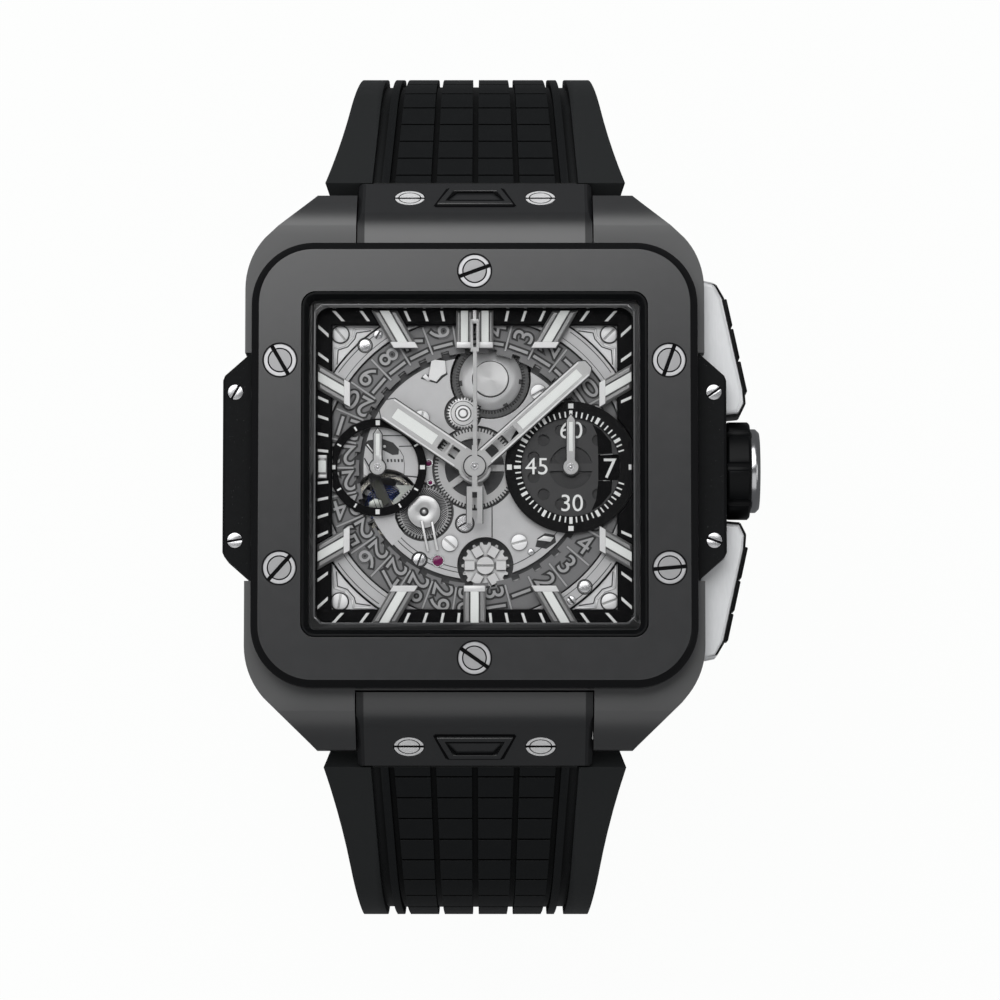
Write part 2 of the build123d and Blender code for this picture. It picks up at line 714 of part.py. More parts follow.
# Side inserts: the left one is a full block, the right one a shelf over the pushers
with BuildPart() as side_insert_left:
    with BuildSketch(Plane.XY.offset(at_depth(insert_bottom))):
        outline(
            (-insert_inner_x, -insert_inner_y),
            (-insert_inner_x, insert_inner_y),
            (-insert_outer_x, insert_outer_y),
            (-insert_outer_x, -insert_outer_y),
        )
    extrude(amount=insert_bottom - insert_top)
    chamfer(side_insert_left.faces().sort_by(Axis.X)[0].edges(), insert_edge)
    for side in (1, -1):
        bore(
            (-insert_screw_x, side * insert_screw_y),
            insert_top,
            insert_top + insert_head_height,
            insert_head_radius + seat_gap,
        )
        bore(
            (-insert_screw_x, side * insert_screw_y),
            insert_top,
            insert_top + insert_head_height + insert_shank_length + run_gap,
            insert_shank_radius + seat_gap,
        )
side_insert_left.part.label = "side_insert_left"
export_step(side_insert_left.part, "parts/side_insert_left.step")

with BuildPart() as side_insert_right:
    mirror(side_insert_left.part, about=Plane.YZ)
    for side in (1, -1):
        slab(
            insert_outer_x,
            insert_inner_y,
            insert_shelf,
            insert_bottom + overrun,
            place=(insert_outer_x, side * (insert_block_y + insert_inner_y / 2)),
            mode=Mode.SUBTRACT,
        )
    rod(
        insert_inner_x - overrun,
        insert_outer_x + overrun,
        0,
        crown_depth,
        tube_radius + seat_gap,
        mode=Mode.SUBTRACT,
    )
side_insert_right.part.label = "side_insert_right"
export_step(side_insert_right.part, "parts/side_insert_right.step")

insert_screw = slotted_screw(
    insert_head_radius,
    insert_head_height - seat_gap,
    insert_shank_radius,
    insert_shank_length,
    small_slot_width,
    small_slot_depth,
)
insert_seat = at_depth(insert_top + insert_head_height)
with BuildPart() as insert_screws:
    for (x, y), turn in zip(insert_screw_places, insert_screw_turns):
        with Locations(Location((x, y, insert_seat), (0, 0, turn))):
            add(insert_screw)
insert_screws.part.label = "insert_screws"
export_step(insert_screws.part, "parts/insert_screws.step")

# Crown group: tube in the case, and the capped core, grip and stem that turn in it
with BuildPart() as crown_tube:
    rod(tube_start, tube_end, 0, crown_depth, tube_radius)
    rod(tube_start, tube_end, 0, crown_depth, tube_bore, mode=Mode.SUBTRACT)
crown_tube.part.label = "crown_tube"
export_step(crown_tube.part, "parts/crown_tube.step")

with BuildPart() as crown_core:
    rod(crown_start, crown_end, 0, crown_depth, crown_core_radius)
    rod(shaft_start, crown_start, 0, crown_depth, shaft_radius)
    rod(shaft_groove_start, shaft_groove_end, 0, crown_depth, shaft_radius, mode=Mode.SUBTRACT)
    rod(shaft_groove_start, shaft_groove_end, 0, crown_depth, shaft_groove_radius)
    rod(crown_end, crown_end + cap_thickness, 0, crown_depth, cap_radius)
    chamfer(crown_core.faces().sort_by(Axis.X)[-1].edges(), cap_chamfer)
    cap_face = crown_end + cap_thickness
    rod(cap_face - cap_recess, cap_face, 0, crown_depth, cap_recess_radius, mode=Mode.SUBTRACT)
crown_core.part.label = "crown_core"
export_step(crown_core.part, "parts/crown_core.step")

with BuildPart() as crown_gasket:
    groove_start = shaft_groove_start + seat_gap
    groove_end = shaft_groove_end - seat_gap
    rod(groove_start, groove_end, 0, crown_depth, gasket_radius)
    rod(groove_start, groove_end, 0, crown_depth, shaft_groove_radius + seat_gap / 2, Mode.SUBTRACT)
crown_gasket.part.label = "crown_gasket"
export_step(crown_gasket.part, "parts/crown_gasket.step")

with BuildPart() as crown_grip:
    rod(crown_start, crown_end, 0, crown_depth, grip_radius)
    chamfer(crown_grip.edges().filter_by(GeomType.CIRCLE), grip_chamfer)
    rod(crown_start, crown_end, 0, crown_depth, crown_core_radius, mode=Mode.SUBTRACT)
    with BuildSketch(Plane.YZ.offset(crown_start)):
        with Locations((0, at_depth(crown_depth))):
            with PolarLocations(notch_reach, grip_notches):
                Circle(notch_radius)
    extrude(amount=crown_end - crown_start, mode=Mode.SUBTRACT)
crown_grip.part.label = "crown_grip"
export_step(crown_grip.part, "parts/crown_grip.step")

with BuildPart() as winding_stem:
    rod(stem_start, shaft_start, 0, crown_depth, stem_radius)
winding_stem.part.label = "winding_stem"
export_step(winding_stem.part, "parts/winding_stem.step")

# Pushers: the upper one is drawn, the lower one is its mirror image
with BuildPart() as pusher_upper:
    with BuildSketch(Plane.XY.offset(at_depth(pusher_bottom))):
        outline(
            (pusher_inner_x, pusher_far_y),
            (pusher_heel_x, pusher_heel_y),
            (pusher_far_x, pusher_face_far_y),
            (pusher_near_x, pusher_face_near_y),
            (pusher_tip_x, pusher_tip_y),
            (pusher_toe_x, pusher_toe_y),
            (pusher_inner_x, pusher_near_y),
        )
    extrude(amount=pusher_bottom - pusher_top)
    chamfer(
        pusher_upper.faces().filter_by(Axis.Z).edges().filter_by_position(
            Axis.X, pusher_inner_x + run_gap, pusher_tip_x
        ),
        pusher_bevel,
    )
    rod(pusher_stem_start, pusher_inner_x, pusher_stem_y, crown_depth, pusher_stem_radius)
pusher_upper.part.label = "pusher_upper"
export_step(pusher_upper.part, "parts/pusher_upper.step")

with BuildPart() as pusher_lower:
    mirror(pusher_upper.part, about=Plane.XZ)
pusher_lower.part.label = "pusher_lower"
export_step(pusher_lower.part, "parts/pusher_lower.step")

spring_length = pusher_inner_x - spring_well_x - run_gap
spring_pitch = (spring_length - 2 * spring_wire) / spring_turns
with BuildPart() as pusher_springs:
    for side in (1, -1):
        coil_start = (spring_well_x + spring_wire, side * pusher_stem_y, at_depth(crown_depth))
        with BuildLine() as coil:
            Helix(spring_pitch, spring_pitch * spring_turns, spring_radius, coil_start, (1, 0, 0))
        with BuildSketch(Plane(coil.line @ 0, z_dir=coil.line % 0)):
            Circle(spring_wire)
        sweep(path=coil.line)
pusher_springs.part.label = "pusher_springs"
export_step(pusher_springs.part, "parts/pusher_springs.step")

# End links: a bowed block between the lugs with a slope that carries the release button
slope_run = hypot(link_tip_y - link_bend_y, link_tip_depth - link_bend_depth)
slope_y_share = (link_tip_y - link_bend_y) / slope_run
slope_z_share = (link_tip_depth - link_bend_depth) / slope_run
slope_middle = (
    0,
    (link_bend_y + link_tip_y) / 2,
    at_depth((link_bend_depth + link_tip_depth) / 2),
)
slope_plane = Plane(slope_middle, x_dir=(1, 0, 0), z_dir=(0, slope_z_share, slope_y_share))
release_shape = (
    (-release_wide / 2, -release_height / 2),
    (release_wide / 2, -release_height / 2),
    (release_narrow / 2, release_height / 2),
    (-release_narrow / 2, release_height / 2),
)
with BuildPart() as end_link_upper:
    with BuildSketch(Plane.YZ.offset(-link_half)):
        with BuildLine():
            bow = ThreePointArc(
                (link_start_y, at_depth(link_start_depth)),
                (link_bow_y, at_depth(link_bow_depth)),
                (link_bend_y, at_depth(link_bend_depth)),
            )
            Polyline(
                bow @ 1,
                (link_tip_y, at_depth(link_tip_depth)),
                (link_tip_y, at_depth(link_lip_depth)),
                (link_foot_y, at_depth(link_lip_depth)),
                (link_foot_y, at_depth(link_foot_depth)),
                (link_start_y, at_depth(link_foot_depth)),
                bow @ 0,
            )
        make_face()
    extrude(amount=2 * link_half)
    slope_face = end_link_upper.faces().filter_by(GeomType.PLANE).sort_by_distance(slope_middle)[0]
    chamfer(
        slope_face.edges().filter_by(GeomType.LINE).filter_by(Axis.X, reverse=True),
        link_side_chamfer,
    )
    with BuildSketch(slope_plane):
        outline(*release_shape)
        offset(amount=run_gap)
    extrude(amount=-release_pocket, mode=Mode.SUBTRACT)
    with Locations(slope_plane):
        with Locations((link_screw_x, 0), (-link_screw_x, 0)):
            CounterBoreHole(
                link_shank_radius + seat_gap,
                link_head_radius + seat_gap,
                link_head_height + seat_gap,
                depth=link_head_height + link_shank_length + 2 * run_gap,
            )
    rod(
        -link_half,
        link_half,
        lug_bar_y,
        lug_bar_depth,
        lug_bar_radius + seat_gap,
        mode=Mode.SUBTRACT,
    )
end_link_upper.part.label = "end_link_upper"
export_step(end_link_upper.part, "parts/end_link_upper.step")

with BuildPart() as end_link_lower:
    mirror(end_link_upper.part, about=Plane.XZ)
end_link_lower.part.label = "end_link_lower"
export_step(end_link_lower.part, "parts/end_link_lower.step")

link_screw = slotted_screw(
    link_head_radius,
    link_head_height,
    link_shank_radius,
    link_shank_length,
    link_slot_width,
    link_slot_depth,
)
with BuildPart() as end_link_screws:
    with Locations(slope_plane.offset(-link_head_height - seat_gap / 2)):
        with Locations((link_screw_x, 0), (-link_screw_x, 0)):
            add(link_screw)
    mirror(about=Plane.XZ)
end_link_screws.part.label = "end_link_screws"
export_step(end_link_screws.part, "parts/end_link_screws.step")

with BuildPart() as release_button_upper:
    with BuildSketch(slope_plane.offset(release_proud)):
        outline(*release_shape)
    extrude(amount=-release_thickness)
    with BuildSketch(slope_plane.offset(release_proud)):
        outline(*release_shape)
        offset(amount=-release_rim)
    extrude(amount=-release_dish, mode=Mode.SUBTRACT)
release_button_upper.part.label = "release_button_upper"
export_step(release_button_upper.part, "parts/release_button_upper.step")

with BuildPart() as release_button_lower:
    mirror(release_button_upper.part, about=Plane.XZ)
release_button_lower.part.label = "release_button_lower"
export_step(release_button_lower.part, "parts/release_button_lower.step")

# Strap halves: a side view extruded across, trimmed to its taper and grooved into pads
strap_start_height = at_depth(strap_start_depth)


def half_panel(height):
    """Half width of the panel of pads at a height on the strap."""
    share = (height - strap_side_height) / (strap_start_height - strap_side_height)
    share = max(0, min(1, share))
    return (pad_panel_side + share * (pad_panel_lug - pad_panel_side)) / 2


def strap_route(reach, end_y, end_height):
    """Outer curve of a strap half: a straight slope, a bend and two arcs to a level end."""
    slope = Line(
        (strap_start_y, strap_start_height),
        (
            reach - strap_bend_radius * (1 - sin(radians(strap_slope))),
            strap_start_height - strap_slope_drop(reach),
        ),
    )
    bend = JernArc(slope @ 1, slope % 1, strap_bend_radius, strap_slope - 90)
    across = (bend @ 1).X - end_y
    down = (bend @ 1).Y - end_height
    turn_sum = cos(radians(strap_hip_turn)) + sin(radians(strap_hip_turn)) - 1
    radius_step = (down - across) / turn_sum
    hip_radius = across + cos(radians(strap_hip_turn)) * radius_step
    hip = JernArc(bend @ 1, bend % 1, hip_radius, -strap_hip_turn)
    foot = JernArc(hip @ 1, hip % 1, hip_radius - radius_step, strap_hip_turn - 90)
    return [slope, bend, hip, foot]


def strap_slope_drop(reach):
    """Height lost on the straight slope before the bend."""
    run = reach - strap_bend_radius * (1 - sin(radians(strap_slope))) - strap_start_y
    return run * sin(radians(strap_slope)) / cos(radians(strap_slope))


def beside(spot, way, inward):
    """Point beside a place on the strap's outer curve, inside it where inward is positive."""
    return (spot.X + way.Y * inward, spot.Y - way.X * inward)


def mates(route, inward_start, inward_end):
    """A run of lines and arcs beside the outer curve, its offset changing evenly."""
    whole = sum(piece.length for piece in route)
    done = 0
    drawn = []
    for piece in route:
        spots = []
        for share in (0, 0.5, 1):
            along = (done + share * piece.length) / whole
            inward = inward_start + along * (inward_end - inward_start)
            spots.append(beside(piece @ share, piece % share, inward))
        done += piece.length
        straight = piece.geom_type == GeomType.LINE
        drawn.append(Line(spots[0], spots[2]) if straight else ThreePointArc(*spots))
    return drawn


def panel_edge(share, shift=0.0):
    """Line, seen along Y, that follows the panel's taper at a share of its half width."""
    heights = (strap_start_height + overrun, strap_start_height, strap_side_height, -overrun)
    return [(share * half_panel(height) + shift, height) for height in heights]


def panel_band(share, extra, width):
    """Outline, seen along Y, of a lengthwise groove at a share of the panel's half width."""
    return panel_edge(share, extra - width / 2) + panel_edge(share, extra + width / 2)[::-1]


def strap_half(reach, end_y, end_height, flat_ends, groove_end_margin):
    """A strap half on the side of 12 o'clock, from its tongue to its end in the clasp.

    flat_ends holds the y of the flat stretch's end, or nothing where the strap has none.
    """
    with BuildLine():
        route = strap_route(reach, end_y, end_height)
    whole = sum(piece.length for piece in route)
    skins = []
    for depth, bands in (
        (pad_groove_depth, [(share, 0, pad_groove_width) for share in pad_line_shares]),
        (channel_depth, [(side, side * channel_offset, channel_width) for side in (1, -1)]),
    ):
        with BuildPart() as skin:
            with BuildSketch(Plane.YZ):
                with BuildLine():
                    above = mates(route, -depth, -depth)
                    below = mates(route, depth, depth)
                    Line(above[0] @ 0, below[0] @ 0)
                    Line(above[-1] @ 1, below[-1] @ 1)
                make_face()
            extrude(amount=strap_width_lug, both=True)
            with BuildSketch(Plane.XZ):
                for band in bands:
                    outline(*panel_band(*band))
            extrude(amount=-2 * reach, mode=Mode.INTERSECT)
        skins.append(skin.part)
    with BuildPart() as cross_grooves:
        with BuildSketch(Plane.YZ):
            done = 0
            for piece in route:
                rows = range(
                    int((done + pad_pitch - pad_first) / pad_pitch),
                    int((min(done + piece.length, whole - groove_end_margin) - pad_first) / pad_pitch)
                    + 1,
                )
                for row in rows:
                    share = (pad_first + row * pad_pitch - done) / piece.length
                    spot, way = piece @ share, piece % share
                    along = Vector(way.X, way.Y) * cross_groove_width
                    inward = Vector(way.Y, -way.X) * pad_groove_depth
                    outline(spot + inward, spot - inward + along, spot - inward - along)
                done += piece.length
        extrude(amount=pad_panel_lug, both=True)
        with BuildSketch(Plane.XZ):
            outline(*panel_edge(-1), *panel_edge(1)[::-1])
        extrude(amount=-2 * reach, mode=Mode.INTERSECT)
    with BuildPart() as strap:
        with BuildSketch(Plane.YZ):
            with BuildLine():
                add(route)
                inner = mates(route, strap_thick_start, strap_thick_end)
                inner_end = inner[-1] @ 1
                corners = [(y, height) for y in flat_ends for height in (end_height, inner_end.Y)]
                Polyline(route[-1] @ 1, *corners, inner_end)
                Line(inner[0] @ 0, route[0] @ 0)
            make_face()
        extrude(amount=strap_width_lug, both=True)
        with BuildSketch(Plane.XZ):
            with BuildLine():
                flare = ThreePointArc(
                    (strap_width_lug / 2, strap_start_height),
                    (strap_width_waist / 2, strap_waist_height),
                    (strap_width_side / 2, strap_side_height),
                )
                Polyline(
                    flare @ 1,
                    (strap_width_clasp / 2, strap_clasp_height),
                    (strap_width_inside / 2, strap_inside_height),
                    (strap_width_inside / 2, 0),
                    centre,
                    (0, strap_start_height),
                    flare @ 0,
                )
            make_face()
            mirror(about=Plane.YZ)
        extrude(amount=reach, both=True, mode=Mode.INTERSECT)
        for skin_part in skins:
            add(skin_part, mode=Mode.SUBTRACT)
        add(cross_grooves.part, mode=Mode.SUBTRACT)
        with BuildSketch(Plane.YZ):
            outline(
                (tongue_start_y, strap_start_height),
                (strap_start_y, strap_start_height),
                inner[0] @ 0,
                (tongue_start_y, at_depth(tongue_bottom_depth)),
            )
        extrude(amount=tongue_half, both=True)
    return strap.part


upper_half = strap_half(
    strap_reach_upper, bar_y, bar_height - knuckle_radius, (), upper_groove_margin
)
with BuildPart() as strap_upper:
    add(upper_half)
    rod(-strap_width_inside / 2, strap_width_inside / 2, bar_y, bar_depth, knuckle_radius)
    with BuildSketch(Plane.XY):
        with Locations((0, bar_y)):
            Rectangle(2 * hook_slot_half, 2 * (knuckle_radius + hook_clearance))
    extrude(amount=hinge_height + overrun, mode=Mode.SUBTRACT)
    rod(
        -strap_width_inside / 2,
        strap_width_inside / 2,
        bar_y,
        bar_depth,
        spring_bar_radius + seat_gap,
        mode=Mode.SUBTRACT,
    )
strap_upper.part.label = "strap_upper"
export_step(strap_upper.part, "parts/strap_upper.step")

lower_half = strap_half(
    strap_reach_lower, flat_start_y, strap_flat_height, (-flat_end_y,), lower_groove_margin
)
with BuildPart() as strap_lower:
    mirror(lower_half, about=Plane.XZ)
strap_lower.part.label = "strap_lower"
export_step(strap_lower.part, "parts/strap_lower.step")

# Clasp: a flat cover under the wrist, a blade that folds into it, and the pins
with BuildPart() as clasp_cover:
    cover_length = cover_back_y + cover_front_y
    cover_middle = (cover_front_y - cover_back_y) / 2
    with BuildSketch(Plane.XY):
        with Locations((0, cover_middle)):
            RectangleRounded(2 * cover_half, cover_length, cover_corner)
    extrude(amount=cover_wall_top)
    chamfer(clasp_cover.faces().sort_by(Axis.Z)[0].edges(), cover_edge)
    with BuildSketch(Plane.YZ.offset(-cover_half)):
        with Locations((-hinge_y, hinge_height)):
            Circle(hinge_ear_radius)
        with Locations((-hinge_y, hinge_height)):
            Rectangle(
                2 * hinge_ear_radius,
                hinge_height - cover_thickness,
                align=(Align.CENTER, Align.MAX),
            )
    extrude(amount=2 * cover_half)
    with BuildSketch(Plane.XY.offset(cover_thickness)):
        with Locations((0, cover_middle)):
            Rectangle(2 * (cover_half - cover_wall), cover_length + overrun)
    extrude(amount=hinge_height + 2 * hinge_ear_radius, mode=Mode.SUBTRACT)
    rod(-cover_half, cover_half, -hinge_y, hinge_depth, hinge_pin_radius + seat_gap, Mode.SUBTRACT)
    with BuildSketch(Plane.YZ.offset(-cover_half)):
        with Locations((clasp_button_y, (clasp_button_low + clasp_button_high) / 2)):
            Rectangle(
                clasp_button_width + 2 * run_gap,
                clasp_button_high - clasp_button_low + 2 * run_gap,
            )
    extrude(amount=2 * cover_half, mode=Mode.SUBTRACT)
clasp_cover.part.label = "clasp_cover"
export_step(clasp_cover.part, "parts/clasp_cover.step")

with BuildPart() as clasp_blade:
    with BuildSketch(Plane.XY.offset(blade_bottom)):
        with Locations((0, (bar_y - hinge_y) / 2)):
            Rectangle(2 * hook_half, bar_y + hinge_y)
        with Locations((0, -hinge_y)):
            Rectangle(2 * blade_half, blade_body_length, align=(Align.CENTER, Align.MIN))
        with Locations((0, 0)):
            RectangleRounded(
                blade_window_width, blade_window_length, blade_window_width / 2 - seat_gap,
                mode=Mode.SUBTRACT,
            )
    extrude(amount=blade_thickness)
    rod(-blade_half, blade_half, -hinge_y, hinge_depth, hinge_knuckle_radius)
    rod(-hook_half, hook_half, bar_y, bar_depth, hook_outer)
    rod(-hook_half, hook_half, bar_y, bar_depth, hook_inner, mode=Mode.SUBTRACT)
    with BuildSketch(Plane.XY.offset(bar_height)):
        with Locations((0, bar_y)):
            Rectangle(2 * hook_half, 2 * hook_outer)
    extrude(amount=-hook_outer, mode=Mode.SUBTRACT)
    rod(
        -blade_half,
        blade_half,
        -hinge_y,
        hinge_depth,
        hinge_pin_radius + seat_gap,
        mode=Mode.SUBTRACT,
    )
clasp_blade.part.label = "clasp_blade"
export_step(clasp_blade.part, "parts/clasp_blade.step")

with BuildPart() as clasp_buttons:
    with BuildSketch(Plane.YZ.offset(clasp_button_in)):
        with Locations((clasp_button_y, (clasp_button_low + clasp_button_high) / 2)):
            RectangleRounded(
                clasp_button_width, clasp_button_high - clasp_button_low, clasp_button_edge
            )
    extrude(amount=clasp_button_out - clasp_button_in)
    chamfer(clasp_buttons.faces().sort_by(Axis.X)[-1].edges(), clasp_button_edge / 2)
for name, plane in (("clasp_button_right", None), ("clasp_button_left", Plane.YZ)):
    with BuildPart() as clasp_button:
        add(clasp_buttons.part if plane is None else clasp_buttons.part.mirror(plane))
    clasp_button.part.label = name
    export_step(clasp_button.part, f"parts/{name}.step")

with BuildPart() as strap_pins:
    for side in (1, -1):
        rod(-lug_bar_half, lug_bar_half, side * lug_bar_y, lug_bar_depth, lug_bar_radius)
    rod(-strap_width_inside / 2, strap_width_inside / 2, bar_y, bar_depth, spring_bar_radius)
    rod(-cover_half, cover_half, -hinge_y, hinge_depth, hinge_pin_radius)
strap_pins.part.label = "strap_pins"
export_step(strap_pins.part, "parts/strap_pins.step")

# Case back, its crystal, gasket and screws
with BuildPart() as case_back:
    with BuildSketch(Plane.XY.offset(back_height)):
        RectangleRounded(back_width, back_width, back_corner)
    extrude(amount=case_thickness - case_foot_depth)
    chamfer(case_back.faces().sort_by(Axis.Z)[0].edges(), back_edge)
    bore(centre, case_foot_depth, rotor_well_depth, rotor_well_radius)
    bore(centre, rotor_well_depth, back_crystal_bottom, back_crystal_radius + seat_gap)
    bore(centre, back_crystal_bottom, case_thickness, back_opening_radius)
    with BuildSketch(Plane.XY.offset(at_depth(case_foot_depth + seal_depth))):
        Circle(seal_outer + seat_gap)
        Circle(seal_inner - seat_gap, mode=Mode.SUBTRACT)
    extrude(amount=seal_depth, mode=Mode.SUBTRACT)
    for place in back_screw_places:
        bore(
            place,
            case_foot_depth,
            case_thickness,
            back_shank_radius + seat_gap,
        )
        bore(
            place,
            case_thickness - back_head_height - run_gap,
            case_thickness,
            back_head_radius + seat_gap,
        )
case_back.part.label = "case_back"
export_step(case_back.part, "parts/case_back.step")

with BuildPart() as back_crystal:
    disc(centre, rotor_well_depth, back_crystal_bottom, back_crystal_radius)
back_crystal.part.label = "back_crystal"
export_step(back_crystal.part, "parts/back_crystal.step")

with BuildPart() as case_seal:
    disc(centre, case_foot_depth, case_foot_depth + seal_depth, seal_outer)
    bore(centre, case_foot_depth, case_foot_depth + seal_depth, seal_inner)
case_seal.part.label = "case_seal"
export_step(case_seal.part, "parts/case_seal.step")

back_screw = slotted_screw(
    back_head_radius,
    back_head_height,
    back_shank_radius,
    back_shank_length,
    small_slot_width,
    small_slot_depth,
)
with BuildPart() as back_screws:
    for place in back_screw_places:
        head_seat = at_depth(case_thickness - back_head_height - run_gap)
        with Locations(Location((*place, head_seat), (180, 0, 0))):
            add(back_screw)
back_screws.part.label = "back_screws"
export_step(back_screws.part, "parts/back_screws.step")

# Dial side: the ring under the crystal and the markers let into it
ring_half = window_half - run_gap


def marker_slab(top, bottom, grown=0.0, mode=Mode.ADD):
    """The plan of all hour markers as a slab between two depths, grown by a clearance."""
    with BuildSketch(Plane.XY.offset(at_depth(bottom))) as profile:
        for hour in bar_hours:
            with Locations(Location((0, 0, 0), (0, 0, 90 - 30 * hour))):
                Rectangle(
                    2 * marker_outer, marker_width + 2 * grown, align=(Align.MIN, Align.CENTER)
                )
        for side in (1, -1):
            with Locations((side * noon_bar_offset, 0)):
                Rectangle(
                    noon_bar_width + 2 * grown, 2 * marker_outer, align=(Align.CENTER, Align.MIN)
                )
        outer_size = 2 * (marker_outer + grown)
        Rectangle(outer_size, outer_size, mode=Mode.INTERSECT)
        Rectangle(
            2 * (marker_inner_x - grown), 2 * (marker_inner_y - grown), mode=Mode.SUBTRACT
        )
        with Locations((-(nine_inner_x + marker_outer) / 2, 0)):
            Rectangle(marker_outer - nine_inner_x + 2 * grown, nine_width + 2 * grown)
    extrude(profile.sketch, amount=bottom - top, mode=mode)


with BuildPart() as dial_ring:
    with BuildSketch(Plane.XY.offset(at_depth(dial_ring_bottom))):
        notch_limit = counter_limit + seat_gap
        Rectangle(2 * ring_half, 2 * ring_half)
        Rectangle(dial_window, dial_window, mode=Mode.SUBTRACT)
        with Locations(counter_place):
            Circle(counter_ring_outer + seat_gap, mode=Mode.SUBTRACT)
        with Locations((notch_limit, 0)):
            Rectangle(
                ring_half - notch_limit, 2 * counter_ring_outer, align=(Align.MIN, Align.CENTER)
            )
    extrude(amount=dial_ring_bottom - dial_ring_top)
    chamfer(
        dial_ring.faces().sort_by(Axis.Z)[-1].inner_wires()[0].edges(),
        dial_ring_chamfer,
    )
    marker_slab(dial_ring_top - overrun, marker_bottom, seat_gap, mode=Mode.SUBTRACT)
dial_ring.part.label = "dial_ring"
export_step(dial_ring.part, "parts/dial_ring.step")

with BuildPart() as hour_markers:
    marker_slab(marker_top, marker_bottom)
    chamfer(hour_markers.faces().group_by(Axis.Z)[-1].edges(), marker_facet)
hour_markers.part.label = "hour_markers"
export_step(hour_markers.part, "parts/hour_markers.step")

# Corner brackets, movement holder and date disc
with BuildPart() as corner_brackets:
    slab(2 * bracket_half, 2 * bracket_half, bracket_top, bore_depth)
    bore(centre, bracket_top, bore_depth, bracket_circle)
    for place in corner_places:
        bore(place, bracket_top, bore_depth, corner_shank_radius + seat_gap)
corner_brackets.part.label = "corner_brackets"
export_step(corner_brackets.part, "parts/corner_brackets.step")

with BuildPart() as movement_holder:
    disc(centre, dial_ring_bottom, plate_top, holder_outer)
    slab(2 * ring_half, 2 * ring_half, dial_ring_bottom, plate_top, mode=Mode.INTERSECT)
    bore(centre, dial_ring_bottom, plate_top, holder_inner)
movement_holder.part.label = "movement_holder"
export_step(movement_holder.part, "parts/movement_holder.step")

with BuildPart() as date_disc:
    with BuildSketch(Plane.XY.offset(at_depth(date_bottom))):
        Circle(date_outer)
        Circle(date_inner, mode=Mode.SUBTRACT)
        with PolarLocations(date_inner, date_days):
            Rectangle(2 * date_notch_depth, date_notch_width, mode=Mode.SUBTRACT)
    extrude(amount=date_bottom - date_top)
date_disc.part.label = "date_disc"
export_step(date_disc.part, "parts/date_disc.step")

# Small seconds ring on the left and the counter dial on the right
with BuildPart() as seconds_ring:
    disc(seconds_place, seconds_ring_top, small_dial_bottom, seconds_ring_outer)
    bore(seconds_place, seconds_ring_top, small_dial_bottom, seconds_ring_inner)
    slab(
        2 * small_dial_limit,
        2 * small_dial_limit,
        seconds_ring_top,
        small_dial_bottom,
        mode=Mode.INTERSECT,
    )
    for angle in seconds_foot_angles:
        foot_place = polar(seconds_foot_circle, angle, seconds_place)
        disc(foot_place, small_dial_bottom, dial_bridge_top, foot_radius)
seconds_ring.part.label = "seconds_ring"
export_step(seconds_ring.part, "parts/seconds_ring.step")

with BuildPart() as counter_dial:
    disc(counter_place, counter_ring_top, small_dial_bottom, counter_ring_outer)
    bore(counter_place, counter_ring_top, counter_floor_top, counter_ring_inner)
    slab(
        2 * counter_limit,
        2 * counter_limit,
        counter_ring_top,
        small_dial_bottom,
        mode=Mode.INTERSECT,
    )
    with BuildSketch(Plane.XY.offset(at_depth(small_dial_bottom))):
        with Locations(counter_place):
            Circle(counter_centre_hole)
            with PolarLocations(0, 2):
                Rectangle(2 * counter_centre_hole, counter_spoke_width, mode=Mode.SUBTRACT)
            Circle(hub_radius, mode=Mode.SUBTRACT)
            with PolarLocations(counter_hole_circle, 12, start_angle=45, angular_range=360):
                Circle(counter_hole_radius)
        with Locations((date_aperture_x, 0)):
            Rectangle(date_aperture_width, date_aperture_height)
    extrude(amount=small_dial_bottom - counter_floor_top, mode=Mode.SUBTRACT)
    bore(counter_place, counter_ring_top, small_dial_bottom, small_arbor_radius + run_gap)
    for angle in counter_foot_angles:
        foot_place = polar(counter_foot_circle, angle, counter_place)
        disc(foot_place, small_dial_bottom, dial_bridge_top, foot_radius)
counter_dial.part.label = "counter_dial"
export_step(counter_dial.part, "parts/counter_dial.step")

# Hands, each drawn pointing to the right and then turned to its angle


def turned_sketch_plane(place, bottom, angle):
    """Plane at a depth whose first axis points along a hand."""
    return Plane(
        origin=(*place, at_depth(bottom)),
        x_dir=(cos(radians(angle)), sin(radians(angle)), 0),
        z_dir=(0, 0, 1),
    )


def hand_blade(plane, thickness, reach, width, hub, slots):
    """Blade with a blunt tip on a round hub. Slots hold start, end and width."""
    with BuildSketch(plane) as profile:
        outline(
            (0, -width / 2),
            (reach - hand_tip, -width / 2),
            (reach, -width / 4),
            (reach, width / 4),
            (reach - hand_tip, width / 2),
            (0, width / 2),
        )
        Circle(hub)
        for start, end, slot_width in slots:
            with Locations(((start + end) / 2, 0)):
                Rectangle(end - start, slot_width, mode=Mode.SUBTRACT)
    extrude(profile.sketch, amount=thickness)


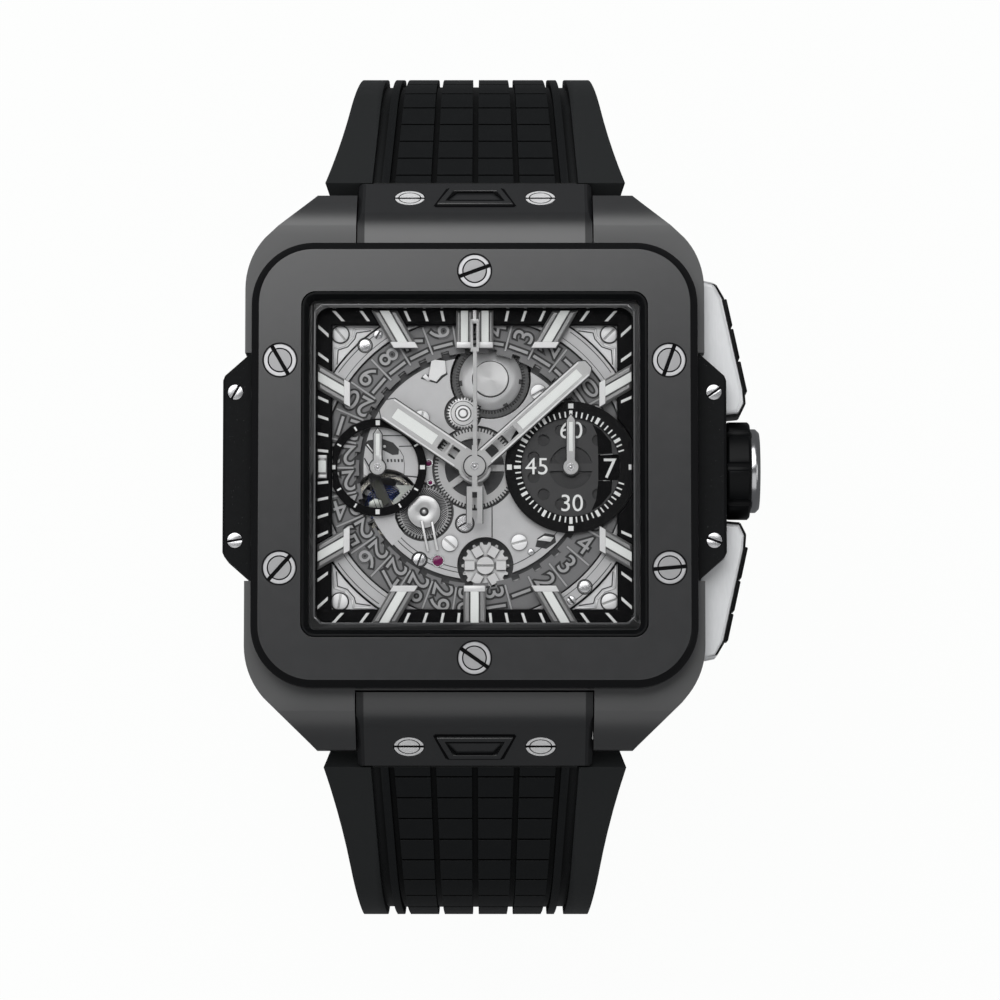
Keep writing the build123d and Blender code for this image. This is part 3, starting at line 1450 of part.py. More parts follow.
with BuildPart() as hour_hand:
    hand_blade(
        turned_sketch_plane(centre, hour_hand_bottom, hour_hand_angle),
        hour_hand_bottom - hour_hand_top,
        hour_hand_reach,
        hour_hand_width,
        hour_hub_radius,
        (
            (hour_lume_start, hour_lume_end, hour_lume_width),
            (hour_open_near - hour_open_length / 2, hour_open_near + hour_open_length / 2,
             hour_open_width),
            (hour_open_far - hour_open_length / 2, hour_open_far + hour_open_length / 2,
             hour_open_width),
        ),
    )
    disc(centre, hour_hand_bottom, dial_gear_top, hour_pipe_radius)
    spoked_gear(
        centre,
        dial_gear_top,
        dial_gear_thickness,
        hour_teeth,
        dial_module,
        0,
        hour_teeth * dial_module / 2 - hour_rim_inner,
        hour_hub_radius,
        hour_spoke_width,
        hour_spokes,
    )
    bore(centre, hour_hand_top, dial_gear_top + dial_gear_thickness, hour_pipe_bore)
hour_hand.part.label = "hour_hand"
export_step(hour_hand.part, "parts/hour_hand.step")

with BuildPart() as minute_hand:
    hand_blade(
        turned_sketch_plane(centre, minute_hand_bottom, minute_hand_angle),
        minute_hand_bottom - minute_hand_top,
        minute_hand_reach,
        minute_hand_width,
        minute_hub_radius,
        (
            (minute_lume_start, minute_lume_end, minute_lume_width),
            (minute_open_start, minute_open_end, minute_open_width),
        ),
    )
    disc(centre, minute_hand_bottom, cannon_bottom, cannon_radius)
    disc(centre, cannon_collar_top, cannon_bottom, cannon_collar_radius)
    bore(centre, minute_hand_top, cannon_bottom, cannon_bore)
minute_hand.part.label = "minute_hand"
export_step(minute_hand.part, "parts/minute_hand.step")

with BuildPart() as chrono_hand:
    with BuildSketch(turned_sketch_plane(centre, chrono_hand_bottom, 90)):
        Rectangle(chrono_hand_reach, chrono_needle_width, align=(Align.MIN, Align.CENTER))
        with Locations(((chrono_head_start + chrono_head_end) / 2, 0)):
            Rectangle(chrono_head_end - chrono_head_start, chrono_head_width)
        with Locations(((chrono_slot_start + chrono_slot_end) / 2, 0)):
            Rectangle(chrono_slot_end - chrono_slot_start, chrono_slot_width, mode=Mode.SUBTRACT)
        with Locations((-(chrono_tail_start + chrono_tail_end) / 2, 0)):
            Rectangle(chrono_tail_end - chrono_tail_start, chrono_tail_width)
        with Locations((-chrono_tail_end, 0)):
            Rectangle(
                2 * (chrono_tail_end - chrono_tail_start - chrono_tail_bar),
                chrono_tail_width - 2 * chrono_tail_bar,
                mode=Mode.SUBTRACT,
            )
        Rectangle(2 * chrono_tail_start, chrono_tail_bar, align=(Align.CENTER, Align.CENTER))
        Circle(chrono_hub_radius)
    extrude(amount=chrono_hand_bottom - chrono_hand_top)
    disc(centre, chrono_hand_top, train_pivot_bottom, chrono_arbor_radius)
    spoked_gear(
        centre,
        chrono_wheel_top,
        wheel_thickness,
        chrono_wheel_teeth,
        dial_module,
        0,
        gear_rim,
        hub_radius,
        gear_spoke_width,
        hour_spokes,
    )
chrono_hand.part.label = "chrono_hand"
export_step(chrono_hand.part, "parts/chrono_hand.step")


def small_blade(place, reach, angle):
    """Tapered hand of a small dial with a slot for its luminous strip."""
    with BuildSketch(turned_sketch_plane(place, small_hand_bottom, angle)) as profile:
        outline(
            (0, -small_hand_width / 2),
            (reach - hand_tip, -small_hand_width / 2),
            (reach, 0),
            (reach - hand_tip, small_hand_width / 2),
            (0, small_hand_width / 2),
        )
        Circle(small_hand_hub)
        slot_start, slot_end = small_lume_start_share * reach, small_lume_end_share * reach
        with Locations(((slot_start + slot_end) / 2, 0)):
            Rectangle(slot_end - slot_start, small_lume_width, mode=Mode.SUBTRACT)
    extrude(profile.sketch, amount=small_hand_bottom - small_hand_top)


third_pinion_phase = meshing_phase(second_teeth, 0, third_direction, third_pinion_teeth)
fourth_pinion_phase = meshing_phase(third_teeth, 0, fourth_direction, fourth_pinion_teeth)
with BuildPart() as seconds_hand:
    small_blade(seconds_place, seconds_hand_reach, seconds_hand_angle)
    disc(seconds_place, small_hand_top, train_pivot_bottom, small_arbor_radius)
    spoked_gear(
        seconds_place,
        fourth_wheel_top,
        wheel_thickness,
        fourth_teeth,
        fourth_module,
        0,
        gear_rim,
        hub_radius,
        gear_spoke_width,
        gear_spokes,
    )
    gear(
        seconds_place,
        third_wheel_top,
        wheel_thickness,
        fourth_pinion_teeth,
        third_module,
        fourth_pinion_phase,
    )
seconds_hand.part.label = "seconds_hand"
export_step(seconds_hand.part, "parts/seconds_hand.step")

with BuildPart() as counter_hand:
    small_blade(counter_place, counter_hand_reach, counter_hand_angle)
    disc(counter_place, small_hand_top, cannon_bottom, small_arbor_radius)
    spoked_gear(
        counter_place,
        dial_gear_top,
        dial_gear_thickness,
        counter_gear_teeth,
        dial_module,
        0,
        gear_rim,
        hub_radius,
        gear_spoke_width,
        gear_spokes,
    )
counter_hand.part.label = "counter_hand"
export_step(counter_hand.part, "parts/counter_hand.step")

# Main plate with its raised land, and the bridge beside it: both leave room for the wheels
dial_windows = (
    (centre, hour_teeth * dial_module / 2 + window_gap),
    (date_drive_place, date_drive_teeth * dial_module / 2 + window_gap),
    (minute_wheel_place, minute_wheel_teeth * dial_module / 2 + window_gap),
    (counter_place, counter_gear_teeth * dial_module / 2 + window_gap),
    (barrel_place, barrel_window_radius),
    (column_place, column_recess_radius),
    (balance_place, balance_window_radius),
)
plate_bores = (
    (centre, plate_top, plate_bottom, centre_hole_radius),
    (barrel_place, date_seat_top, plate_bottom, barrel_hole_radius),
    (column_place, date_seat_top, column_recess_bottom, column_recess_radius),
    (second_place, train_pivot_top - run_gap, plate_bottom, train_arbor_radius + pivot_gap),
    (third_place, train_pivot_top - run_gap, plate_bottom, train_arbor_radius + pivot_gap),
    (escape_place, train_pivot_top - run_gap, plate_bottom, train_arbor_radius + pivot_gap),
    (seconds_place, date_seat_top, plate_bottom, small_arbor_radius + pivot_gap),
    (counter_place, plate_top, cannon_bottom + run_gap, small_arbor_radius + pivot_gap),
    (date_drive_place, plate_top, stud_bottom + run_gap, stud_radius + pivot_gap),
    (minute_wheel_place, plate_top, stud_bottom + run_gap, stud_radius + pivot_gap),
)
barrel_bar_angle = degrees(atan2(barrel_y, barrel_x))
with BuildPart() as main_plate:
    disc(centre, plate_top, plate_bottom, plate_radius)
    disc(centre, plate_bottom, plate_rim_bottom, plate_radius)
    bore(centre, plate_bottom, plate_rim_bottom, plate_rim_inner)
    with BuildSketch(Plane.XY.offset(at_depth(plate_top))):
        Circle(date_seat_outer)
        Circle(date_seat_inner, mode=Mode.SUBTRACT)
    extrude(amount=plate_top - date_seat_top)
    with BuildSketch(Plane.XY.offset(at_depth(plate_top))):
        Circle(dial_bridge_radius)
        with Locations((0, land_low_y)):
            Rectangle(
                dial_bridge_radius,
                2 * dial_bridge_radius,
                align=(Align.MAX, Align.MIN),
                mode=Mode.INTERSECT,
            )
        for place, radius in dial_windows:
            with Locations(place):
                Circle(radius, mode=Mode.SUBTRACT)
    extrude(amount=plate_top - dial_bridge_top)
    for place, top, bottom, radius in plate_bores:
        bore(place, top, bottom, radius)
    bore(seconds_place, dial_bridge_top, plate_bottom, small_arbor_radius + pivot_gap)
    bore(balance_place, dial_bridge_top, plate_bottom, balance_window_radius)
    with BuildSketch(turned_sketch_plane(balance_place, plate_bottom, cock_angle + 90)):
        Rectangle(2 * balance_window_radius, balance_bar_width)
        Circle(staff_radius + pivot_gap, mode=Mode.SUBTRACT)
    extrude(amount=plate_bottom - balance_bar_top)
    with BuildSketch(turned_sketch_plane(barrel_place, barrel_bar_bottom, barrel_bar_angle)):
        bar_reach = plate_rim_inner - hypot(barrel_x, barrel_y)
        Circle(barrel_bar_width / 2)
        Rectangle(bar_reach + run_gap, barrel_bar_width, align=(Align.MIN, Align.CENTER))
        Circle(barrel_arbor_radius + pivot_gap, mode=Mode.SUBTRACT)
    extrude(amount=barrel_bar_bottom - barrel_bar_top)
    for place in plate_screw_places:
        bore(
            place,
            dial_bridge_top,
            dial_bridge_top + plate_screw_length + run_gap,
            plate_screw_shank + seat_gap,
        )
    rod(0, plate_radius, 0, crown_depth, stem_hole_radius, mode=Mode.SUBTRACT)
main_plate.part.label = "main_plate"
export_step(main_plate.part, "parts/main_plate.step")

with BuildPart() as dial_bridge:
    with BuildSketch(Plane.XY.offset(at_depth(plate_top))):
        Circle(dial_bridge_radius)
        with Locations((0, land_low_y)):
            Rectangle(
                dial_bridge_radius,
                2 * dial_bridge_radius,
                align=(Align.MAX, Align.MIN),
                mode=Mode.SUBTRACT,
            )
        for place, radius in dial_windows:
            with Locations(place):
                Circle(radius, mode=Mode.SUBTRACT)
    extrude(amount=plate_top - dial_bridge_top)
    with BuildSketch(Plane.XY.offset(at_depth(dial_bridge_top))):
        with Locations((bridge_seam_x, 0)):
            Rectangle(
                bridge_seam_width, 2 * dial_bridge_radius, align=(Align.CENTER, Align.MAX)
            )
    extrude(amount=-bridge_seam_depth, mode=Mode.SUBTRACT)
    for place in plate_screw_places:
        bore(place, dial_bridge_top, plate_top, plate_screw_shank + seat_gap)
dial_bridge.part.label = "dial_bridge"
export_step(dial_bridge.part, "parts/dial_bridge.step")

corner_screw = slotted_screw(
    corner_head_radius,
    corner_head_height,
    corner_shank_radius,
    corner_shank_length,
    small_slot_width,
    small_slot_depth,
)
plate_screw = slotted_screw(
    plate_screw_head,
    plate_screw_height,
    plate_screw_shank,
    plate_screw_length,
    small_slot_width,
    small_slot_depth,
)
with BuildPart() as movement_screws:
    for (x, y), turn in zip(corner_places, corner_screw_turns):
        with Locations(Location((x, y, at_depth(bracket_top)), (0, 0, turn))):
            add(corner_screw)
    for (x, y), turn in zip(plate_screw_places, plate_screw_turns):
        with Locations(Location((x, y, at_depth(dial_bridge_top)), (0, 0, turn))):
            add(plate_screw)
movement_screws.part.label = "movement_screws"
export_step(movement_screws.part, "parts/movement_screws.step")

# Wheels on the dial side of the plate
with BuildPart() as date_drive_wheel:
    gear(
        date_drive_place,
        dial_gear_top,
        dial_gear_thickness,
        date_drive_teeth,
        dial_module,
        meshing_phase(hour_teeth, 0, date_drive_angle, date_drive_teeth),
    )
    disc(date_drive_place, wheel_cap_top, dial_gear_top, wheel_cap_radius)
    disc(date_drive_place, dial_gear_top, stud_bottom, stud_radius)
date_drive_wheel.part.label = "date_drive_wheel"
export_step(date_drive_wheel.part, "parts/date_drive_wheel.step")

with BuildPart() as minute_wheel:
    gear(
        minute_wheel_place,
        dial_gear_top,
        dial_gear_thickness,
        minute_wheel_teeth,
        dial_module,
        meshing_phase(hour_teeth, 0, minute_wheel_angle, minute_wheel_teeth),
    )
    disc(minute_wheel_place, dial_gear_top, stud_bottom, stud_radius)
minute_wheel.part.label = "minute_wheel"
export_step(minute_wheel.part, "parts/minute_wheel.step")

# Going train: mainspring barrel, second and third wheels, escape wheel and fork
with BuildPart() as barrel:
    gear(
        barrel_place,
        barrel_teeth_top,
        barrel_teeth_bottom - barrel_teeth_top,
        barrel_teeth,
        dial_module,
    )
    disc(barrel_place, barrel_teeth_bottom, barrel_drum_bottom, barrel_drum_radius)
    disc(barrel_place, barrel_ring_top, barrel_teeth_top, barrel_ring_radius)
    disc(barrel_place, barrel_drum_bottom, barrel_bar_bottom, barrel_arbor_radius)
    with Locations((*barrel_place, at_depth(barrel_ring_top))):
        Cone(
            barrel_cone_radius,
            barrel_cone_tip,
            barrel_ring_top - barrel_cone_top,
            align=(Align.CENTER, Align.CENTER, Align.MIN),
        )
barrel.part.label = "barrel"
export_step(barrel.part, "parts/barrel.step")

with BuildPart() as second_wheel:
    disc(second_place, train_pivot_top, train_pivot_bottom, train_arbor_radius)
    gear(
        second_place,
        second_pinion_top,
        barrel_teeth_bottom - second_pinion_top,
        second_pinion_teeth,
        dial_module,
        meshing_phase(barrel_teeth, 0, train_angle, second_pinion_teeth),
    )
    spoked_gear(
        second_place,
        second_wheel_top,
        wheel_thickness,
        second_teeth,
        second_module,
        0,
        gear_rim,
        hub_radius,
        gear_spoke_width,
        gear_spokes,
    )
second_wheel.part.label = "second_wheel"
export_step(second_wheel.part, "parts/second_wheel.step")

with BuildPart() as third_wheel:
    disc(third_place, train_pivot_top, train_pivot_bottom, train_arbor_radius)
    gear(
        third_place,
        second_wheel_top,
        wheel_thickness,
        third_pinion_teeth,
        second_module,
        third_pinion_phase,
    )
    spoked_gear(
        third_place,
        third_wheel_top,
        wheel_thickness,
        third_teeth,
        third_module,
        0,
        gear_rim,
        hub_radius,
        gear_spoke_width,
        gear_spokes,
    )
third_wheel.part.label = "third_wheel"
export_step(third_wheel.part, "parts/third_wheel.step")

with BuildPart() as escape_wheel:
    disc(escape_place, train_pivot_top, train_pivot_bottom, train_arbor_radius)
    gear(
        escape_place,
        fourth_wheel_top,
        wheel_thickness,
        escape_pinion_teeth,
        fourth_module,
        meshing_phase(fourth_teeth, 0, escape_angle, escape_pinion_teeth),
    )
    with BuildSketch(Plane.XY.offset(at_depth(escape_top + escape_thickness))):
        with Locations(escape_place):
            escape_step = 360 / escape_teeth
            outline(
                *[
                    polar(radius, tooth * escape_step)
                    for tooth in range(escape_teeth)
                    for radius in (escape_radius - escape_tooth_depth, escape_radius)
                ]
            )
            with PolarLocations(escape_hole_circle, escape_holes):
                Circle(escape_hole_radius, mode=Mode.SUBTRACT)
    extrude(amount=escape_thickness)
escape_wheel.part.label = "escape_wheel"
export_step(escape_wheel.part, "parts/escape_wheel.step")

with BuildPart() as pallet_fork:
    disc(fork_place, fork_arbor_top, train_pivot_bottom, train_arbor_radius)
    with BuildSketch(
        turned_sketch_plane(fork_place, escape_top + escape_thickness, fork_angle)
    ):
        Circle(fork_hub_radius)
        Rectangle(fork_reach, fork_width, align=(Align.MIN, Align.CENTER))
        for side in (1, -1):
            with Locations(Location((0, 0, 0), (0, 0, 180 + side * fork_arm_angle))):
                Rectangle(fork_arm_reach, fork_width, align=(Align.MIN, Align.CENTER))
        with Locations((fork_reach, 0)):
            Rectangle(fork_width, fork_width / 3, mode=Mode.SUBTRACT)
    extrude(amount=escape_thickness)
pallet_fork.part.label = "pallet_fork"
export_step(pallet_fork.part, "parts/pallet_fork.step")

# Balance, its spring and the cock that carries them
with BuildPart() as balance:
    with BuildSketch(Plane.XY.offset(at_depth(balance_top + balance_thickness))):
        with Locations(balance_place):
            Circle(balance_radius)
            Circle(balance_rim_inner, mode=Mode.SUBTRACT)
            Circle(balance_hub_radius)
            with PolarLocations(0, balance_arms):
                Rectangle(balance_rim_inner, balance_arm_width, align=(Align.MIN, Align.CENTER))
    extrude(amount=balance_thickness)
    for screw in range(balance_screws):
        rim_middle = (balance_radius + balance_rim_inner) / 2
        place = polar(rim_middle, screw * 360 / balance_screws, balance_place)
        disc(place, balance_top - run_gap, balance_top, balance_screw_radius)
    disc(balance_place, staff_top, staff_bottom, staff_radius)
    disc(balance_place, hairspring_top, hairspring_top + hairspring_height, collet_radius)
    disc(balance_place, roller_top, roller_bottom, roller_radius)
balance.part.label = "balance"
export_step(balance.part, "parts/balance.step")

with BuildPart() as hairspring:
    spring_bottom = hairspring_top + hairspring_height
    with BuildSketch(turned_sketch_plane(balance_place, spring_bottom, cock_angle)):
        with BuildLine():
            for edge in (-hairspring_strip / 2, hairspring_strip / 2):
                for half_turn in range(hairspring_half_turns):
                    odd = half_turn % 2
                    CenterArc(
                        (odd * hairspring_step / 2, 0),
                        hairspring_start + half_turn * hairspring_step / 2 + edge,
                        180 * odd,
                        180,
                    )
            for end in (
                hairspring_start,
                hairspring_start + hairspring_half_turns * hairspring_step / 2,
            ):
                Line((end - hairspring_strip / 2, 0), (end + hairspring_strip / 2, 0))
        make_face()
    extrude(amount=hairspring_height)
hairspring.part.label = "hairspring"
export_step(hairspring.part, "parts/hairspring.step")

with BuildPart() as balance_cock:
    disc(cock_place, plate_bottom, cock_bottom, cock_pillar_radius)
    with BuildSketch(turned_sketch_plane(balance_place, cock_bottom, cock_angle)):
        Circle(cock_width / 2)
        Rectangle(cock_reach, cock_width, align=(Align.MIN, Align.CENTER))
        Circle(staff_radius + pivot_gap, mode=Mode.SUBTRACT)
    extrude(amount=cock_bottom - cock_top)
    disc(spring_stud_place, hairspring_top, cock_top, stud_pin_radius)
balance_cock.part.label = "balance_cock"
export_step(balance_cock.part, "parts/balance_cock.step")

# Column wheel that steers the stopwatch, in its recess
with BuildPart() as column_wheel:
    gear(
        column_place,
        column_base_top,
        column_base_bottom - column_base_top,
        column_teeth,
        2 * column_wheel_radius / column_teeth,
    )
    with BuildSketch(Plane.XY.offset(at_depth(column_base_top))):
        with Locations(column_place):
            with PolarLocations((column_inner + column_outer) / 2, column_count):
                Rectangle(column_outer - column_inner, column_width)
    extrude(amount=column_base_top - column_top)
    disc(column_place, column_head_top, column_base_top, column_head_radius)
    slab(
        2 * column_head_radius,
        column_screw_slot,
        column_head_top,
        column_head_top + column_screw_slot_depth,
        place=column_place,
        mode=Mode.SUBTRACT,
    )
column_wheel.part.label = "column_wheel"
export_step(column_wheel.part, "parts/column_wheel.step")

# Train bridge with the post that carries the rotor
with BuildPart() as train_bridge:
    disc(centre, plate_rim_bottom, train_bridge_bottom, train_bridge_radius)
    for place in train_window_places:
        bore(place, plate_rim_bottom, train_bridge_bottom, train_window_radius)
    for place in (*train_arbors, fork_place):
        bore(
            place,
            plate_rim_bottom,
            train_pivot_bottom + run_gap,
            train_arbor_radius + pivot_gap,
        )
    bore(centre, plate_rim_bottom, train_pivot_bottom + run_gap, chrono_arbor_radius + pivot_gap)
    bore(
        seconds_place,
        plate_rim_bottom,
        train_pivot_bottom + run_gap,
        small_arbor_radius + pivot_gap,
    )
    disc(centre, train_bridge_bottom, rotor_post_bottom, rotor_post_radius)
    disc(centre, rotor_cap_top, rotor_post_bottom, rotor_cap_radius)
train_bridge.part.label = "train_bridge"
export_step(train_bridge.part, "parts/train_bridge.step")

# Winding rotor: half a plate with a heavy rim
with BuildPart() as rotor:
    with BuildSketch(Plane.XY.offset(at_depth(rotor_plate_bottom))):
        Circle(rotor_radius)
        Rectangle(
            2 * rotor_radius, rotor_radius, align=(Align.CENTER, Align.MAX), mode=Mode.INTERSECT
        )
        Circle(rotor_hub_radius)
        Circle(rotor_bore, mode=Mode.SUBTRACT)
    extrude(amount=rotor_plate_bottom - rotor_top)
    with BuildSketch(Plane.XY.offset(at_depth(rotor_bottom))):
        Circle(rotor_radius)
        Circle(rotor_rim_inner, mode=Mode.SUBTRACT)
        Rectangle(
            2 * rotor_radius, rotor_radius, align=(Align.CENTER, Align.MAX), mode=Mode.INTERSECT
        )
    extrude(amount=rotor_bottom - rotor_plate_bottom)
    for turn in rotor_opening_turns:
        with BuildSketch(turned_sketch_plane(centre, rotor_plate_bottom, turn)):
            Circle(rotor_opening_outer)
            Circle(rotor_opening_inner, mode=Mode.SUBTRACT)
            outline(
                centre,
                polar(2 * rotor_opening_outer, -rotor_opening_angle / 2),
                polar(2 * rotor_opening_outer, rotor_opening_angle / 2),
                mode=Mode.INTERSECT,
            )
        extrude(amount=rotor_plate_bottom - rotor_top, mode=Mode.SUBTRACT)
rotor.part.label = "rotor"
export_step(rotor.part, "parts/rotor.step")
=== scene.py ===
import json
import math

import bmesh
import bpy
from mathutils import Matrix, Vector


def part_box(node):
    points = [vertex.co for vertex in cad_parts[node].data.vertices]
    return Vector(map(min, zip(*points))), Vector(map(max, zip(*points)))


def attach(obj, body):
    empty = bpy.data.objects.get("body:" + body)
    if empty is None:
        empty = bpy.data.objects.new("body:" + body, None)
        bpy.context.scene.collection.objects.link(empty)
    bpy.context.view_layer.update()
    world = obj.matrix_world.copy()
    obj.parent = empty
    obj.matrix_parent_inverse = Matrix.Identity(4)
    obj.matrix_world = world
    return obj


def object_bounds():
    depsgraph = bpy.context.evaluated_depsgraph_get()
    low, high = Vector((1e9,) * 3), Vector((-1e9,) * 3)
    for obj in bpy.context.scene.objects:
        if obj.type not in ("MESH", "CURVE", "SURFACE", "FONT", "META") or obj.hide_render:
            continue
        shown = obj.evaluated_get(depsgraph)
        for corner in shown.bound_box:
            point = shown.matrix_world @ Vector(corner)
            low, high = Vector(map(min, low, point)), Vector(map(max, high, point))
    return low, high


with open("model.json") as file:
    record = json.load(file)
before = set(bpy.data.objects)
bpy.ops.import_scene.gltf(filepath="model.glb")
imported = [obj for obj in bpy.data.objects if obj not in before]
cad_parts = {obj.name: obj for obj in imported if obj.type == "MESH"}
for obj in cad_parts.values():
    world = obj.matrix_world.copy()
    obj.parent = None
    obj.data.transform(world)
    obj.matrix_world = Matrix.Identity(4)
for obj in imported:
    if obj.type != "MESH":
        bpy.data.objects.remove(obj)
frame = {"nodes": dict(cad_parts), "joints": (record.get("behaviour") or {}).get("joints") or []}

cad_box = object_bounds()
scene = bpy.context.scene

# Units, levels and places
mm = 0.001
nodes = frame["nodes"]
bezel_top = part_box("bezel")[1].z
up = Vector((0, 0, 1))


def level(depth):
    """Height in metres of a level this many millimetres below the top of the bezel."""
    return bezel_top - depth * mm


def axle(joint):
    """Place of a joint's axis, seen from above."""
    place = next(Vector(j["pos_m"]) for j in frame["joints"] if j["name"] == joint)
    return Vector((place.x, place.y, 0))


def heading(clock):
    """Direction on the dial for an angle in degrees, counted clockwise from 12 o'clock."""
    return Vector((math.sin(math.radians(clock)), math.cos(math.radians(clock)), 0))


def spot(x, y):
    """Place on the dial from two lengths in millimetres."""
    return Vector((x * mm, y * mm, 0))


centre = spot(0, 0)
seconds_centre = axle("seconds_turn")
counter_centre = axle("counter_turn")
hour_clock, minute_clock = 304, 48

# Surface finishes


def plug(tree, node, sockets):
    """Sets a node's sockets to values, or links them to outputs of other nodes."""
    for name, value in sockets.items():
        if isinstance(value, bpy.types.NodeSocket):
            tree.links.new(value, node.inputs[name])
        else:
            node.inputs[name].default_value = value


def add_node(tree, kind, sockets=None, **settings):
    """A node of a material with its settings and sockets."""
    node = tree.nodes.new("ShaderNode" + kind)
    for name, value in settings.items():
        setattr(node, name, value)
    plug(tree, node, sockets or {})
    return node


def object_place(tree, stretch=(1, 1, 1), shift=(0, 0, 0)):
    """Object coordinates, moved by minus the shift and then stretched."""
    sockets = {
        "Vector": add_node(tree, "TexCoord").outputs["Object"],
        "Location": [-s * k for s, k in zip(shift, stretch)],
        "Scale": stretch,
    }
    return add_node(tree, "Mapping", sockets).outputs["Vector"]


def noise(tree, place, size_mm, detail):
    """Cloudy pattern with patches of about this size."""
    sockets = {"Vector": place, "Scale": 1 / (size_mm * mm), "Detail": detail}
    return add_node(tree, "TexNoise", sockets).outputs["Fac"]


def colour_mix(tree, share, low, high):
    """Colour that goes from low to high with the share. Each is a colour or another output."""
    low, high = [(*end, 1) if isinstance(end, tuple) else end for end in (low, high)]
    sockets = {"Factor": share, "A": low, "B": high}
    return add_node(tree, "Mix", sockets, data_type="RGBA").outputs["Result"]


def ramp(tree, value, start, end, low=0.0, high=1.0):
    """Value rescaled from one range to another and kept within it."""
    sockets = {"Value": value, "From Min": start, "From Max": end, "To Min": low, "To Max": high}
    return add_node(tree, "MapRange", sockets).outputs["Result"]


def past(tree, value, at_mm, soft_mm):
    """Share that goes from 0 to 1 where a length passes another, give or take the soft length."""
    return ramp(tree, value, (at_mm - soft_mm) * mm, (at_mm + soft_mm) * mm)


def coordinate(tree, vector, axis):
    """One coordinate of a vector."""
    return add_node(tree, "SeparateXYZ", {"Vector": vector}).outputs[axis]


def unit(tree, vector):
    """A vector made one long."""
    return add_node(tree, "VectorMath", {0: vector}, operation="NORMALIZE").outputs["Vector"]


def distance_from_middle(tree, axis):
    """How far a place is from the watch's middle line, along X or Y."""
    along = coordinate(tree, object_place(tree), axis)
    return add_node(tree, "Math", {0: along}, operation="ABSOLUTE").outputs["Value"]


def scaled(colour, factor):
    """A colour made lighter or darker."""
    return tuple(min(1, part * factor) for part in colour)


relief_depth, layer_blend = 0.02 * mm, 0.02 * mm
speck_size_mm, speck_colour = 0.09, (0.5, 0.5, 0.5)
painted_shade_samples = 8
finishes = {}


def finish(
    name, colour, roughness, metallic=0.0, mottle=0.07, mottle_mm=1.2, grain=0.0, grain_mm=0.08,
    stretch=(1, 1, 1), ior=1.5, spread=0.05, painted_crevice_shade=0.0, painted_shade_reach_mm=0.35, below=None, beside=None,
    specks=0.0,
):
    """A surface with a faint mottle in its colour and gloss, fine grain and painted shade in its crevices.

    below holds a depth and the colour of what lies deeper than it. beside holds a distance from the
    middle line and the colour further out. Returns the node tree.
    """
    material = bpy.data.materials.new(name)
    material.use_nodes = True
    tree = material.node_tree
    place = object_place(tree, stretch)
    cloud = noise(tree, place, mottle_mm, 4)
    shown = colour_mix(tree, cloud, scaled(colour, 1 - mottle), scaled(colour, 1 + mottle))
    if below:
        depth, deep_colour = below
        height = coordinate(tree, object_place(tree), "Z")
        upper = ramp(tree, height, level(depth) - layer_blend, level(depth))
        shown = colour_mix(tree, upper, deep_colour, shown)
    if beside:
        start_mm, outer_colour = beside
        outer = past(tree, distance_from_middle(tree, "X"), start_mm, 0.5)
        shown = colour_mix(tree, outer, shown, outer_colour)
    if specks:
        dots = ramp(tree, noise(tree, place, speck_size_mm, 1), 0.77, 0.8, 0, specks)
        shown = colour_mix(tree, dots, shown, speck_colour)
    # Painted shade: the colour darkens where ambient occlusion finds other surfaces close by, in crevices,
    # corners and recesses.
    if painted_crevice_shade:
        reach = {"Distance": painted_shade_reach_mm * mm}
        shade = add_node(tree, "AmbientOcclusion", reach, samples=painted_shade_samples)
        open_share = ramp(tree, shade.outputs["AO"], 0.35, 0.95)
        shown = colour_mix(tree, open_share, scaled(colour, 1 - painted_crevice_shade), shown)
    gloss = ramp(tree, cloud, 0, 1, max(0.02, roughness - spread), roughness + spread)
    sockets = {"Base Color": shown, "Roughness": gloss, "Metallic": metallic, "IOR": ior}
    if grain:
        height = noise(tree, place, grain_mm, 3)
        relief = {"Height": height, "Strength": grain, "Distance": relief_depth}
        sockets["Normal"] = add_node(tree, "Bump", relief).outputs["Normal"]
    plug(tree, tree.nodes["Principled BSDF"], sockets)
    finishes[name] = material
    return tree


def round_lugs(name, start_mm, end_mm):
    """Lets the slopes of the lugs curve gently from the flat of the case to their ends."""
    tree = finishes[name].node_tree
    normal = add_node(tree, "NewGeometry").outputs["Normal"]
    curve = ramp(tree, distance_from_middle(tree, "Y"), start_mm * mm, end_mm * mm)
    steep = ramp(tree, coordinate(tree, normal, "Z"), 0.4, 0.5, 1, 0)
    share = add_node(tree, "Math", {0: curve, 1: steep}, operation="MAXIMUM").outputs["Value"]
    ends = {"Factor": share, "A": (0, 0, 1), "B": normal}
    blend = add_node(tree, "Mix", ends, data_type="VECTOR").outputs["Result"]
    plug(tree, tree.nodes["Principled BSDF"], {"Normal": unit(tree, blend)})


def polish_flanks(name, colour):
    """Painted shade: a darker colour and less shine on every face that doesn't point up."""
    tree = finishes[name].node_tree
    shader = tree.nodes["Principled BSDF"]
    normal = add_node(tree, "NewGeometry").outputs["Normal"]
    flat_share = ramp(tree, coordinate(tree, normal, "Z"), 0.9, 0.97)
    shown = colour_mix(tree, flat_share, colour, shader.inputs["Base Color"].links[0].from_socket)
    shine = ramp(tree, flat_share, 0, 1, 0.2, 0.5)
    plug(tree, shader, {"Base Color": shown, "Specular IOR Level": shine})


def dull_sides(name, start_mm):
    """Painted shade of a chamfer: strips along both sides, beyond this distance from the middle line, that
    reflect less.
    """
    tree = finishes[name].node_tree
    start, end = start_mm * mm, (start_mm + 0.05) * mm
    shine = ramp(tree, distance_from_middle(tree, "X"), start, end, 0.5, 0.16)
    plug(tree, tree.nodes["Principled BSDF"], {"Specular IOR Level": shine})


def clear_sapphire():
    """Clear flat crystal whose coated faces hardly reflect."""
    tree = finish("clear_sapphire", (0.01, 0.01, 0.01), 0.05, mottle=0.01, spread=0.01)
    plug(tree, tree.nodes["Principled BSDF"], {"Alpha": 0.03, "Specular IOR Level": 0.07})


